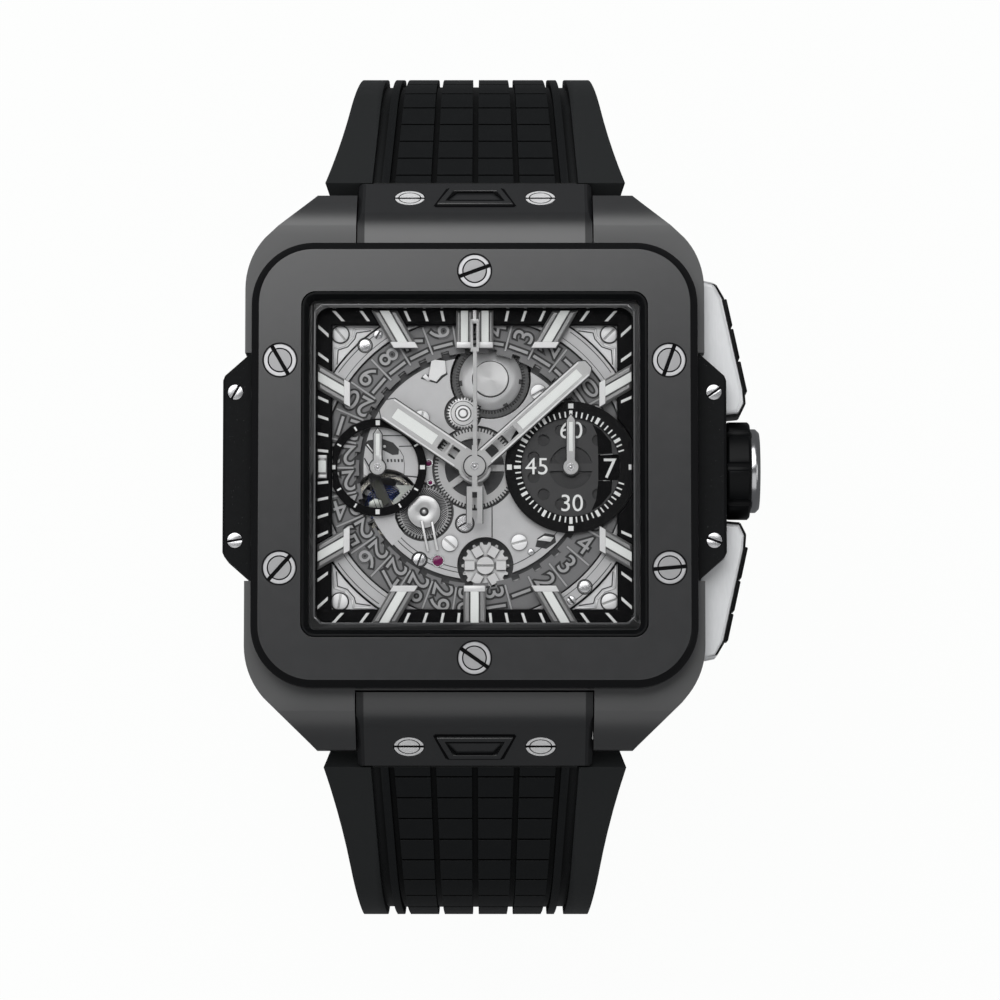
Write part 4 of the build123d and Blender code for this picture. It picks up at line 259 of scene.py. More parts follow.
def turned_steel(name, middle, disc_mm, band_mm, inner, band, outer):
    """Steel turned round a middle: a disc, a bright band round it and dark steel past the band."""
    tree = finish(name, inner, 0.4, metallic=0.5)
    place = object_place(tree, stretch=(1, 1, 0), shift=middle)
    reach = add_node(tree, "VectorMath", {0: place}, operation="LENGTH").outputs["Value"]
    shown = colour_mix(tree, past(tree, reach, disc_mm, 0.02), inner, band)
    shown = colour_mix(tree, past(tree, reach, band_mm, 0.02), shown, outer)
    crossed = add_node(tree, "VectorMath", {0: place, 1: (0, 0, 1)}, operation="CROSS_PRODUCT")
    tangent = unit(tree, crossed.outputs["Vector"])
    sockets = {"Base Color": shown, "Tangent": tangent, "Anisotropic": 0.85}
    plug(tree, tree.nodes["Principled BSDF"], sockets)


pale_plate, recess_shade_colour = (0.5, 0.5, 0.505), (0.04, 0.04, 0.042)
plate_grain_and_shade = {"grain": 0.2, "grain_mm": 0.1, "painted_crevice_shade": 0.85}
black_ceramic = {"colour": (0.015, 0.0155, 0.0165), "roughness": 0.33, "ior": 1.7, "spread": 0.02}
finish("satin_ceramic", **black_ceramic)
finish("case_ceramic", (0.024, 0.0245, 0.0255), 0.44, ior=1.8, spread=0.02)
round_lugs("case_ceramic", 21.6, 25.2)
finish("link_ceramic", **black_ceramic)
# Painted shade along the end links' sides.
dull_sides("link_ceramic", 10.2)
finish("bezel_ceramic", (0.0285, 0.029, 0.03), 0.19, ior=1.63, spread=0.02)
# Painted shade on the bezel's flanks.
polish_flanks("bezel_ceramic", (0.004, 0.004, 0.0045))
finish(
    "speckled_black", (0.0055, 0.006, 0.0065), 0.6, ior=1.2, mottle=0.4, mottle_mm=0.5, grain=0.7,
    grain_mm=0.15, specks=0.35,
)
finish(
    "strap_rubber", (0.0065, 0.0073, 0.0079), 0.44, ior=1.3, grain=0.3, grain_mm=0.1, painted_crevice_shade=0.95,
    painted_shade_reach_mm=0.6, beside=(9.0, (0.0195, 0.021, 0.0215)),
)
finish("seal_rubber", (0.0035, 0.0038, 0.0042), 0.36, ior=1.2)
finish("bright_steel", (0.62, 0.62, 0.63), 0.26, metallic=0.9, painted_crevice_shade=0.85)
finish("bezel_screw_steel", (0.5, 0.5, 0.51), 0.34, metallic=0.8, grain=0.1, painted_crevice_shade=0.9)
finish(
    "pusher_titanium", (0.78, 0.79, 0.8), 0.4, metallic=0.25, grain=0.12, grain_mm=0.1,
    stretch=(6, 1, 6),
)
finish("crown_metal", (0.5, 0.5, 0.51), 0.2, metallic=1.0)
finish("clasp_metal", (0.3, 0.3, 0.31), 0.34, metallic=1.0, stretch=(1, 12, 1), grain=0.15)
# Painted shade: the main plate turns dark deeper than 4.45 mm, at the bottom of the recesses over it.
finish("frosted_plate", pale_plate, 0.42, metallic=0.35, below=(4.45, recess_shade_colour), **plate_grain_and_shade)
finish("bridge_plate", pale_plate, 0.4, metallic=0.35, **plate_grain_and_shade)
finish("bracket_plate", (0.7, 0.7, 0.705), 0.36, metallic=0.4, **plate_grain_and_shade)
finish(
    "date_metal", (0.17, 0.17, 0.173), 0.46, metallic=0.3, grain=0.25, grain_mm=0.12, painted_crevice_shade=0.8
)
finish("figure_metal", (0.36, 0.36, 0.363), 0.4, metallic=0.4, grain=0.15)
finish("wheel_steel", (0.56, 0.56, 0.56), 0.3, metallic=0.6, painted_crevice_shade=0.9, painted_shade_reach_mm=0.25)
finish("bright_wheel", (0.66, 0.66, 0.66), 0.35, metallic=0.4, painted_crevice_shade=0.95, painted_shade_reach_mm=0.3)
finish("shadow_metal", (0.012, 0.012, 0.013), 0.4)
finish("balance_metal", (0.6, 0.58, 0.52), 0.22, metallic=1.0)
finish("blue_steel", (0.02, 0.07, 0.4), 0.2, metallic=1.0)
finish("needle_steel", (0.44, 0.44, 0.44), 0.3, metallic=0.5)
finish("hand_steel", (0.44, 0.44, 0.44), 0.3, metallic=0.55, grain=0.12)
finish("marker_steel", (0.3, 0.3, 0.3), 0.3, metallic=0.5, grain=0.12, painted_crevice_shade=0.5)
finish("foot_steel", (0.75, 0.75, 0.75), 0.3, metallic=0.2)
# Black of the dial's rings and the date field, also used as painted shade in slots, grooves, gaps and
# beside the counter.
finish("dial_black", (0.003, 0.003, 0.0035), 0.4, ior=1.15, grain=0.1)
finish(
    "counter_grey", (0.004, 0.004, 0.0045), 0.4, ior=1.2, grain=0.15, below=(3.5, (0.065, 0.065, 0.066))
)
finish("flat_steel", (0.9, 0.9, 0.905), 0.42, metallic=0.2, painted_crevice_shade=0.9, painted_shade_reach_mm=0.2)
finish("pin_grey", (0.34, 0.34, 0.345), 0.4, metallic=0.6, grain=0.15)
finish("rim_ceramic", (0.035, 0.036, 0.038), 0.2, ior=1.8)
finish("cock_metal", (0.42, 0.44, 0.41), 0.3, metallic=0.5)
finish("warm_shadow", (0.05, 0.052, 0.042), 0.3, metallic=0.4)
finish("white_print", (0.82, 0.83, 0.82), 0.5, mottle=0.03)
finish("lume", (0.86, 0.88, 0.86), 0.6, mottle=0.03, grain=0.2, grain_mm=0.05)
finish("ruby", (0.16, 0.012, 0.08), 0.08)
clear_sapphire()
barrel_middle = (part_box("barrel")[0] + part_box("barrel")[1]) / 2
barrel_middle.z = 0
turned_steel(
    "barrel_steel", barrel_middle, 1.68, 2.95, (0.6, 0.6, 0.6), (0.8, 0.8, 0.805), (0.34, 0.34, 0.342)
)

# Building pieces


def add_object(name, mesh, body, material):
    """A piece with this mesh, on a body and with the finish of this name."""
    piece = bpy.data.objects.new(name, mesh)
    scene.collection.objects.link(piece)
    mesh.materials.clear()
    mesh.materials.append(finishes[material])
    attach(piece, body)
    return piece


def add_piece(name, body, material, draw, bevel=0.0):
    """A piece whose mesh the given function draws, with edges softened by this many millimetres."""
    bm = bmesh.new()
    draw(bm)
    bmesh.ops.recalc_face_normals(bm, faces=bm.faces)
    mesh = bpy.data.meshes.new(name)
    bm.to_mesh(mesh)
    bm.free()
    piece = add_object(name, mesh, body, material)
    if bevel:
        round_edges(piece, bevel)


def even_shading(piece, keep_sharp):
    """Smooth shading that keeps a piece's large faces flat."""
    piece.data.polygons.foreach_set("use_smooth", [True] * len(piece.data.polygons))
    shade = piece.modifiers.new("even_shading", "WEIGHTED_NORMAL")
    shade.weight = 100
    shade.keep_sharp = keep_sharp


def round_edges(piece, width_mm):
    """Softens a piece's sharp edges."""
    edge = piece.modifiers.new("soft_edges", "BEVEL")
    edge.width = width_mm * mm
    edge.segments = 2
    edge.limit_method = "ANGLE"
    edge.angle_limit = math.radians(28)
    even_shading(piece, True)


def soften_node(name, width_mm, material):
    """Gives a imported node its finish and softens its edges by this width.

    A width of 0 only evens its shading, and None leaves its faces as they are.
    """
    node = nodes[name]
    node.data.materials.clear()
    node.data.materials.append(finishes[material])
    if width_mm is None:
        return
    join = node.modifiers.new("joined_corners", "WELD")
    join.merge_threshold = 0.001 * mm
    if width_mm > 0:
        flat = node.modifiers.new("flat_faces", "DECIMATE")
        flat.decimate_type = "DISSOLVE"
        flat.angle_limit = math.radians(0.4)
        round_edges(node, width_mm)
    else:
        even_shading(node, False)


def slat(bm, start, end, side, bottom, top):
    """A bar between two places, slanted where its side isn't square to it."""
    middle = (start + end) / 2
    along = end - start
    rows = [(side[i], along[i], 0, middle[i]) for i in range(2)]
    rows.append((0, 0, top - bottom, (top + bottom) / 2))
    rows.append((0, 0, 0, 1))
    bmesh.ops.create_cube(bm, size=1, matrix=Matrix(rows))


def bar(bm, start, end, width_mm, bottom, top):
    """A straight bar between two places."""
    along = (end - start).normalized()
    slat(bm, start, end, along.cross(up) * width_mm * mm, bottom, top)


def pin(bm, place, radius_mm, bottom, top, tip_mm=None, sides=32):
    """A round pin, or a cone where a tip radius is given."""
    tip = radius_mm if tip_mm is None else tip_mm
    bmesh.ops.create_cone(
        bm,
        cap_ends=True,
        segments=sides,
        radius1=radius_mm * mm,
        radius2=tip * mm,
        depth=top - bottom,
        matrix=Matrix.Translation((place.x, place.y, (top + bottom) / 2)),
    )


def ring(bm, place, inner_mm, outer_mm, bottom, top, clock=0, sweep=360, steps=60):
    """A flat ring, or an arc of one that starts at a clock angle and runs clockwise."""
    outward = heading(clock)
    corners = ((inner_mm, bottom), (outer_mm, bottom), (outer_mm, top), (inner_mm, top))
    verts = [bm.verts.new(place + outward * radius * mm + up * height) for radius, height in corners]
    if sweep == 360:
        geometry = [bm.edges.new((verts[i - 1], verts[i])) for i in range(4)]
    else:
        geometry = [bm.faces.new(verts)]
    bmesh.ops.spin(
        bm, geom=geometry, cent=place, axis=-up, angle=math.radians(sweep), steps=steps,
        use_merge=sweep == 360,
    )


def plate(bm, points_mm, bottom, top):
    """A flat plate with this outline, given in millimetres."""
    face = bm.faces.new([bm.verts.new(spot(x, y) + up * bottom) for x, y in points_mm])
    lifted = bmesh.ops.extrude_face_region(bm, geom=[face])["geom"]
    bmesh.ops.translate(
        bm, verts=[v for v in lifted if isinstance(v, bmesh.types.BMVert)], vec=up * (top - bottom)
    )


def path(bm, points_mm, width_mm, bottom, top):
    """Bars from point to point."""
    for start, end in zip(points_mm, points_mm[1:]):
        bar(bm, spot(*start), spot(*end), width_mm, bottom, top)


def spokes(bm, middle, clocks, inner_mm, outer_mm, width_mm, bottom, top):
    """Bars along the radii of a circle at these clock angles."""
    for clock in clocks:
        outward = heading(clock) * mm
        bar(bm, middle + outward * inner_mm, middle + outward * outer_mm, width_mm, bottom, top)


def pins(bm, places, bottom, top, taper):
    """Round pins at places that start with X, Y and a radius in millimetres."""
    for x, y, radius, *_ in places:
        pin(bm, spot(x, y), radius, bottom, top, radius * taper)


def seats(bm, places, gap_mm, outer_mm, bottom, top, steps=60):
    """Flat rings round pins at such places."""
    for x, y, radius, *_ in places:
        ring(bm, spot(x, y), radius + gap_mm, radius + outer_mm, bottom, top, steps=steps)


def text_mesh(words, half_depth, grow):
    """Words as a flat raised mesh with its text size at one."""
    curve = bpy.data.curves.new(words, "FONT")
    curve.body = words
    curve.align_x = "CENTER"
    curve.extrude = half_depth
    curve.offset = grow
    flat = bpy.data.objects.new(words, curve)
    scene.collection.objects.link(flat)
    bpy.context.view_layer.update()
    graph = bpy.context.evaluated_depsgraph_get()
    mesh = bpy.data.meshes.new_from_object(flat.evaluated_get(graph))
    bpy.data.objects.remove(flat)
    return mesh


digit_height = max(v.co.y for v in text_mesh("7", 0.01, 0).vertices)


def figure(name, words, place, height_mm, body, material, bottom, thick_mm, turn=0.0, grow_mm=0.0):
    """A figure as a thin raised piece, turned by an angle in radians, its strokes grown if asked."""
    size = height_mm * mm / digit_height
    mesh = text_mesh(words, thick_mm * mm / 2 / size, grow_mm * mm / size)
    mesh.transform(Matrix.Translation((0, -digit_height / 2, 0)))
    mesh.transform(Matrix.Diagonal((size, size, size, 1)))
    lift = bottom + thick_mm * mm / 2
    mesh.transform(Matrix.Translation((place.x, place.y, lift)) @ Matrix.Rotation(turn, 4, "Z"))
    add_object(name, mesh, body, material)


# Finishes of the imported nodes, with the width of their softened edges in millimetres
node_finishes = (
    (0.25, "case_ceramic", "middle_case"),
    (0.12, "bezel_ceramic", "bezel"),
    (0.15, "satin_ceramic", "case_back"),
    (0.1, "satin_ceramic", "release_button_upper release_button_lower"),
    (0.12, "link_ceramic", "end_link_upper end_link_lower"),
    (0.12, "speckled_black", "side_insert_left side_insert_right"),
    (0.22, "strap_rubber", "strap_upper strap_lower"),
    (0.05, "seal_rubber", "crystal_gasket"),
    (0.0, "seal_rubber", "crown_gasket case_seal"),
    (0.12, "seal_rubber", "crown_grip"),
    (0.03, "clear_sapphire", "front_crystal back_crystal"),
    (0.015, "bezel_screw_steel", "bezel_screws"),
    (0.015, "bright_steel", "insert_screws"),
    (0.0, "bright_steel", "crown_tube winding_stem pusher_springs strap_pins"),
    (0.08, "bright_steel", "clasp_button_right clasp_button_left"),
    (0.03, "bright_steel", "back_screws"),
    (0.02, "flat_steel", "end_link_screws movement_screws"),
    (0.1, "crown_metal", "crown_core"),
    (0.2, "pusher_titanium", "pusher_upper pusher_lower"),
    (0.15, "clasp_metal", "clasp_cover"),
    (0.1, "clasp_metal", "clasp_blade"),
    (0.03, "dial_black", "dial_ring"),
    (0.04, "dial_black", "seconds_ring"),
    (0.04, "counter_grey", "counter_dial"),
    (0.05, "bracket_plate", "corner_brackets"),
    (0.06, "bridge_plate", "movement_holder"),
    (0.08, "bridge_plate", "dial_bridge balance_cock"),
    (0.1, "bridge_plate", "train_bridge"),
    (0.06, "frosted_plate", "main_plate"),
    (None, "date_metal", "date_disc"),
    (None, "bright_wheel", "column_wheel"),
    (0.03, "marker_steel", "hour_markers"),
    (0.03, "hand_steel", "hour_hand"),
    (0.05, "hand_steel", "minute_hand"),
    (0.04, "hand_steel", "seconds_hand counter_hand"),
    (0.03, "needle_steel", "chrono_hand"),
    (0.0, "barrel_steel", "barrel"),
    (0.0, "wheel_steel", "second_wheel third_wheel escape_wheel pallet_fork date_drive_wheel minute_wheel"),
    (0.1, "wheel_steel", "rotor"),
    (0.04, "balance_metal", "balance"),
    (0.0, "blue_steel", "hairspring"),
)
for edge_width, material, names in node_finishes:
    for node_name in names.split():
        soften_node(node_name, edge_width, material)

# Marks on the dial ring: one for each minute that no hour marker and no counter covers
ring_top = level(3.0)
mark_rise = 0.05 * mm
mark_inner, mark_outer, mark_width = 13.5 * mm, 14.45 * mm, 0.24 * mm


def on_square(direction, half):
    """Where a direction from the middle meets a square of the given half width."""
    return direction * (half / max(abs(direction.x), abs(direction.y)))


def side_of(direction, width):
    """Width of a bar along a direction, measured parallel to the side of the dial it meets."""
    wide = width / max(abs(direction.x), abs(direction.y))
    return Vector((wide, 0, 0)) if abs(direction.y) > abs(direction.x) else Vector((0, wide, 0))


def draw_minute_marks(bm):
    for minute in range(60):
        direction = heading(6 * minute)
        beside_marker = minute % 5 == 0 or minute in (1, 59)
        behind_counter = minute in (12, 13, 14, 16, 17, 18)
        if beside_marker or behind_counter:
            continue
        start, end = on_square(direction, mark_inner), on_square(direction, mark_outer)
        slat(bm, start, end, side_of(direction, mark_width), ring_top, ring_top + mark_rise)


add_piece("minute_marks", "root", "white_print", draw_minute_marks)

# Hour markers: luminous strips, polished feet and painted shade in the flutes beside the strips
marker_top = level(2.75)
strip_rise, flute_rise = 0.07 * mm, 0.02 * mm
marker_outer_mm, marker_inner_x, marker_inner_y = 14.45, 11.5, 11.0
foot_length, strip_width, foot_width = 0.55, 0.74, 1.95
flute_offset, flute_width = 0.47, 0.1
noon_offsets, noon_strip, noon_foot = (-0.95, 0.95), 0.66, 1.45


def marker_ends(direction):
    """Half widths of the squares where a marker starts and where its foot ends."""
    inner = marker_inner_y if abs(direction.y) > abs(direction.x) else marker_inner_x
    return inner * mm, (inner + foot_length) * mm


def draw_along_markers(bm, width, offsets, start_at_foot, rise):
    """The same bar on each slanted marker, at offsets across it."""
    for hour in (1, 2, 4, 5, 6, 7, 8, 10, 11):
        direction = heading(30 * hour)
        inner, foot_end = marker_ends(direction)
        start = on_square(direction, foot_end if start_at_foot else inner)
        end = on_square(direction, marker_outer_mm * mm if start_at_foot else foot_end)
        for offset in offsets:
            shift = side_of(direction, offset * mm)
            side = side_of(direction, width * mm)
            slat(bm, start + shift, end + shift, side, marker_top, marker_top + rise)


def marker_path(bm, points, width_mm, rise):
    """Bars that lie on the markers."""
    path(bm, points, width_mm, marker_top, marker_top + rise)


def draw_marker_strips(bm):
    draw_along_markers(bm, strip_width, (0,), True, strip_rise)
    for x in noon_offsets:
        points = ((x, marker_inner_y + foot_length), (x, marker_outer_mm))
        marker_path(bm, points, noon_strip, strip_rise)
    marker_path(bm, ((-13.7, 0), (-14.4, 0)), 1.1, strip_rise)


def draw_marker_feet(bm):
    draw_along_markers(bm, foot_width, (0,), False, strip_rise)
    for x in noon_offsets:
        points = ((x, marker_inner_y), (x, marker_inner_y + foot_length))
        marker_path(bm, points, noon_foot, strip_rise)
    for y in (-0.9, 0.9):
        marker_path(bm, ((-13.65, y), (-14.4, y)), 0.3, strip_rise)


# Painted shade: dark lines on both sides of each luminous strip.
def draw_marker_flutes(bm):
    draw_along_markers(bm, flute_width, (-flute_offset, flute_offset), True, flute_rise)
    for x in [offset + side for offset in noon_offsets for side in (-0.41, 0.41)]:
        points = ((x, marker_inner_y + foot_length), (x, marker_outer_mm))
        marker_path(bm, points, 0.09, flute_rise)


add_piece("marker_strips", "root", "lume", draw_marker_strips, bevel=0.03)
add_piece("marker_feet", "root", "foot_steel", draw_marker_feet, bevel=0.03)
add_piece("marker_flute_shade", "root", "shadow_metal", draw_marker_flutes)

# Counter on the right: marks, figures and dark plates of painted shade under its holes
counter_ring_top = level(3.4)
counter_mark_inner, counter_mark_outer = 4.62, 5.15
counter_floor = level(3.55)
shade_outline = (
    (10.85, 4.0), (11.3, 3.0), (11.38, 1.5), (11.38, -1.5), (11.2, -3.0), (10.75, -4.05), (11.7, -3.45),
    (12.6, -2.35), (12.7, -1.25), (11.38, -1.25), (11.38, 1.25), (12.7, 1.25), (12.6, 2.35), (11.7, 3.45),
)


def draw_counter_marks(bm):
    layer = counter_ring_top, counter_ring_top + mark_rise
    clocks = [6 * mark for mark in range(60) if not 13 <= mark <= 17]
    thin = [clock for clock in clocks if clock % 30]
    bold = [clock for clock in clocks if clock % 30 == 0]
    spokes(bm, counter_centre, thin, counter_mark_inner, counter_mark_outer, 0.13, *layer)
    spokes(bm, counter_centre, bold, counter_mark_inner, counter_mark_outer + 0.1, 0.3, *layer)
    spokes(bm, counter_centre, (0, 180, 270), 5.45, 5.9, 0.48, *layer)
    path(bm, ((14.2, 0), (14.45, 0)), 0.5, *layer)


# Painted shade: a dark disc and arc under the counter's hub and holes.
def draw_counter_underlay(bm):
    layer = level(3.86), level(3.8)
    ring(bm, counter_centre, 0.3, 2.2, *layer)
    ring(bm, counter_centre, 2.2, 4.4, *layer, clock=120, sweep=300)


add_piece("counter_marks", "root", "white_print", draw_counter_marks)
add_piece("counter_hole_shade", "root", "shadow_metal", draw_counter_underlay)
add_piece(
    "counter_shade", "root", "dial_black",
    lambda bm: plate(bm, shade_outline, counter_floor, level(3.54)),
)
for words, x, y in (("60", 8.9, 3.45), ("45", 5.75, 0.1), ("30", 8.95, -3.3)):
    figure(
        "counter_figure_" + words, words, spot(x, y), 1.5, "root", "white_print", counter_floor, 0.05
    )

# Ring of the small seconds on the left
seconds_ring_top = level(3.5)


def draw_seconds_marks(bm):
    layer = seconds_ring_top, seconds_ring_top + mark_rise
    thin = [clock for clock in range(0, 360, 30) if clock % 90]
    spokes(bm, seconds_centre, thin, 3.9, 4.3, 0.16, *layer)
    spokes(bm, seconds_centre, range(0, 360, 90), 3.9, 4.35, 0.38, *layer)


add_piece("seconds_marks", "root", "white_print", draw_seconds_marks)

# Date disc: raised figures on dark shadows, links between them, and the day in the window
date_top = level(4.0)
field_top = date_top + 0.03 * mm
date_circle, date_height = 12.35, 1.8
shown_day, days = 7, 31
shadow_thick, figure_thick = 0.03, 0.13


def date_turn(day):
    """Angle of a day's figure on the disc."""
    return (day - shown_day) * 2 * math.pi / days


for day in range(1, days + 1):
    if day == shown_day:
        continue
    turn = date_turn(day)
    place = Vector((math.cos(turn), math.sin(turn), 0)) * date_circle * mm
    figure(
        f"date_shadow_{day}", str(day), place, date_height, "date_disc", "shadow_metal", date_top,
        shadow_thick, turn=turn, grow_mm=0.18,
    )
    figure(
        f"date_figure_{day}", str(day), place, date_height, "date_disc", "figure_metal", date_top,
        figure_thick, turn=turn,
    )


def draw_date_links(bm):
    linked = [day for day in range(1, days + 1) if day not in (shown_day, shown_day + 1)]
    clocks = [90 - math.degrees(date_turn(day - 0.5)) for day in linked]
    spokes(bm, centre, clocks, 11.2, 13.9, 0.16, date_top, date_top + 0.08 * mm)


def draw_date_lines(bm):
    for side in (-1, 1):
        path(bm, ((11.6, side * 1.2), (13.1, side * 1.28)), 0.08, field_top, field_top + 0.03 * mm)


add_piece("date_links", "date_disc", "figure_metal", draw_date_links)
add_piece(
    "date_field", "date_disc", "dial_black",
    lambda bm: path(bm, ((11.0, 0), (13.8, 0)), 2.7, date_top, field_top),
)
add_piece("date_lines", "date_disc", "white_print", draw_date_lines)
figure(
    "date_shown", str(shown_day), spot(date_circle + 0.1, -0.05), 1.8, "date_disc", "white_print",
    field_top, 0.06,
)

# Hands: luminous fills, ridges with painted highlights, edges with painted shadow, and the rings, pins and
# painted shadow rings of their hubs
hands = {
    "hour_hand": (centre, hour_clock),
    "minute_hand": (centre, minute_clock),
    "chrono_hand": (centre, 0),
    "seconds_hand": (seconds_centre, 0),
    "counter_hand": (counter_centre, 0),
}


def both_sides(*outline):
    """A line and its mirror image across a hand's middle line."""
    return [[(reach, half * side) for reach, half in outline] for side in (-1, 1)]


def add_strips(hand, part, material, lines, width_mm, bottom_depth, top_depth, bevel=0.0):
    """Bars on a hand, through places given by their lengths along and across it in millimetres."""
    pivot, clock = hands[hand]
    along = heading(clock) * mm
    across = along.cross(up)

    def draw(bm):
        for line in lines:
            places = [pivot + along * reach + across * offset for reach, offset in line]
            for start, end in zip(places, places[1:]):
                bar(bm, start, end, width_mm, level(bottom_depth), level(top_depth))

    add_piece(f"{hand}_{part}", hand, material, draw, bevel=bevel)


for hand, start_mm, end_mm, width_mm, bottom_depth, top_depth in (
    ("hour_hand", 4.4, 8.9, 1.05, 2.97, 2.81),
    ("minute_hand", 5.6, 13.0, 0.85, 2.62, 2.46),
    ("seconds_hand", 1.08, 3.1, 0.36, 3.33, 3.21),
    ("counter_hand", 1.47, 4.2, 0.36, 3.33, 3.21),
):
    fill = [((start_mm, 0), (end_mm, 0))]
    add_strips(hand, "fill", "lume", fill, width_mm, bottom_depth, top_depth, bevel=0.03)
for hand, part, pin_mm, bottom_depth, top_depth in (
    ("chrono", "rings", 0.18, 2.16, 2.08),
    ("seconds", "ring", 0.16, 3.21, 3.15),
    ("counter", "ring", 0.16, 3.21, 3.15),
):
    layer = level(bottom_depth), level(top_depth)
    body = hand + "_hand"

    def draw_cap(bm):
        ring(bm, hands[body][0], pin_mm + 0.1, pin_mm + 0.18, *layer)
        pin(bm, hands[body][0], pin_mm, *layer, pin_mm * 0.6)

    add_piece(f"{hand}_hub_{part}", body, "bright_steel", draw_cap, bevel=0.02)
# Painted highlights: bright strips along the ridges of the hour and minute hands.
for hand, start_mm, end_mm, half_mm, depth in (
    ("hour_hand", 1.6, 9.6, 0.98, 2.8),
    ("minute_hand", 1.4, 13.5, 0.74, 2.45),
):
    ridge_highlights = both_sides((start_mm, half_mm), (end_mm, half_mm))
    add_strips(hand, "ridge_highlights", "foot_steel", ridge_highlights, 0.14, depth, depth - 0.03, bevel=0.01)
# Painted shadow: dark outlines along the edges of every hand.
for hand, bottom_depth, top_depth, outline in (
    ("hour_hand", 2.98, 2.81, ((1.1, 1.14), (9.66, 1.14), (10.24, 0.57), (10.24, 0))),
    ("minute_hand", 2.63, 2.46, ((0.9, 0.89), (13.57, 0.89), (14.14, 0.44), (14.14, 0))),
    ("seconds_hand", 3.34, 3.21, ((0.68, 0.41), (3.07, 0.41), (3.65, 0))),
    ("counter_hand", 3.34, 3.21, ((0.68, 0.41), (4.37, 0.41), (4.95, 0))),
    ("chrono_hand", 2.28, 2.16, ((-1.9, 0.76), (-5.33, 0.76))),
):
    add_strips(hand, "edges", "shadow_metal", both_sides(*outline), 0.09, bottom_depth, top_depth)
# Painted shade: a darker grey line along one side of the chrono hand's needle.
add_strips("chrono_hand", "flank", "pin_grey", [((1.1, 0.2), (10.5, 0.17))], 0.1, 2.26, 2.165)
# Painted shadow: a dark ring round the hub of the chrono hand and of each small hand.
for hand, radius_mm, bottom_depth, top_depth in (
    ("chrono", 0.97, 2.28, 2.16),
    ("seconds", 0.72, 3.34, 3.22),
    ("counter", 0.72, 3.34, 3.22),
):
    layer = level(bottom_depth), level(top_depth)
    body = hand + "_hand"
    add_piece(
        hand + "_hub_shadow", body, "shadow_metal",
        lambda bm: ring(bm, hands[body][0], radius_mm, radius_mm + 0.1, *layer),
    )

# Movement: wheels, jewels, pins, levers and lines on the bridges
bridge_top = level(4.2)
wheel_top = level(4.3)
small_rise = 0.06 * mm
line_rise = 0.01 * mm
bridge_line = bridge_top, bridge_top + line_rise
wheel_line = wheel_top, wheel_top + line_rise
barrel_line = level(4.6), level(4.585)
minute_wheel_middle, date_wheel_middle = axle("minute_wheel_turn"), axle("date_drive_turn")


def draw_minute_wheel_rings(bm):
    for inner, outer in ((0.36, 0.44), (0.7, 0.77), (1.1, 1.15)):
        ring(bm, minute_wheel_middle, inner, outer, *wheel_line, steps=32)


def draw_minute_wheel_pin(bm):
    pin(bm, minute_wheel_middle, 0.36, wheel_top, wheel_top + small_rise, 0.3)
    ring(bm, minute_wheel_middle, 0.5, 0.66, wheel_top, wheel_top + small_rise / 2, steps=32)


def draw_gaps(middle, teeth, first_tooth, inner_mm, outer_mm, width_mm):
    """Drawing of painted shadow in the gaps between a wheel's teeth, whose first tooth is at this angle
    from +X.
    """
    clocks = [90 - first_tooth - (tooth + 0.5) * 360 / teeth for tooth in range(teeth)]
    return lambda bm: spokes(bm, middle, clocks, inner_mm, outer_mm, width_mm, *wheel_line)


def draw_date_wheel_hatching(bm):
    for turn in range(0, 360, 5):
        start = date_wheel_middle + heading(turn) * 1.6 * mm
        end = date_wheel_middle + heading(turn + 9) * 2.15 * mm
        bar(bm, start, end, 0.07, *wheel_line)


def draw_date_wheel_disc(bm):
    ring(bm, date_wheel_middle, 0.42, 1.5, level(4.15), level(4.1))
    pin(bm, date_wheel_middle, 0.2, level(4.15), level(4.08), 0.15)


def draw_date_wheel_seat(bm):
    ring(bm, date_wheel_middle, 1.5, 1.58, level(4.3), level(4.2))
    ring(bm, date_wheel_middle, 0.24, 0.42, level(4.15), level(4.12), steps=32)


def draw_barrel_notches(bm):
    for clock, width in ((20, 0.7), (95, 0.45), (150, 0.45), (205, 0.6), (262, 0.5), (330, 0.7)):
        spokes(bm, barrel_middle, [clock], 2.65, 2.98, width, *barrel_line)
    teeth = [clock + 2.5 for clock in range(0, 360, 5)]
    spokes(bm, barrel_middle, teeth, 2.98, 3.23, 0.12, level(4.8), level(4.79))


def draw_barrel_grooves(bm):
    for inner, outer in ((1.6, 1.72), (2.9, 2.97)):
        ring(bm, barrel_middle, inner, outer, *barrel_line)


add_piece("minute_wheel_rings", "minute_wheel", "shadow_metal", draw_minute_wheel_rings)
add_piece("minute_wheel_pin", "minute_wheel", "flat_steel", draw_minute_wheel_pin)
add_piece("date_wheel_hatching", "date_drive_wheel", "shadow_metal", draw_date_wheel_hatching)
add_piece("date_wheel_disc", "date_drive_wheel", "wheel_steel", draw_date_wheel_disc, bevel=0.02)
add_piece("date_wheel_seat", "date_drive_wheel", "shadow_metal", draw_date_wheel_seat)
add_piece("barrel_notches", "barrel", "shadow_metal", draw_barrel_notches)
add_piece("barrel_grooves", "barrel", "shadow_metal", draw_barrel_grooves)
add_piece(
    "barrel_cap", "barrel", "barrel_steel",
    lambda bm: pin(bm, barrel_middle, 1.63, level(4.6), level(4.23), 1.6, sides=64),
)
# Painted shadow between the teeth of the hour, date and minute wheels.
add_piece("hour_wheel_tooth_shadows", "hour_hand", "shadow_metal", draw_gaps(centre, 74, 0, 3.4, 3.66, 0.14))
add_piece(
    "date_wheel_tooth_shadows", "date_drive_wheel", "shadow_metal",
    draw_gaps(date_wheel_middle, 50, 40.48, 2.25, 2.46, 0.14),
)
add_piece(
    "minute_wheel_tooth_shadows", "minute_wheel", "shadow_metal",
    draw_gaps(minute_wheel_middle, 30, 287.6, 1.28, 1.46, 0.13),
)

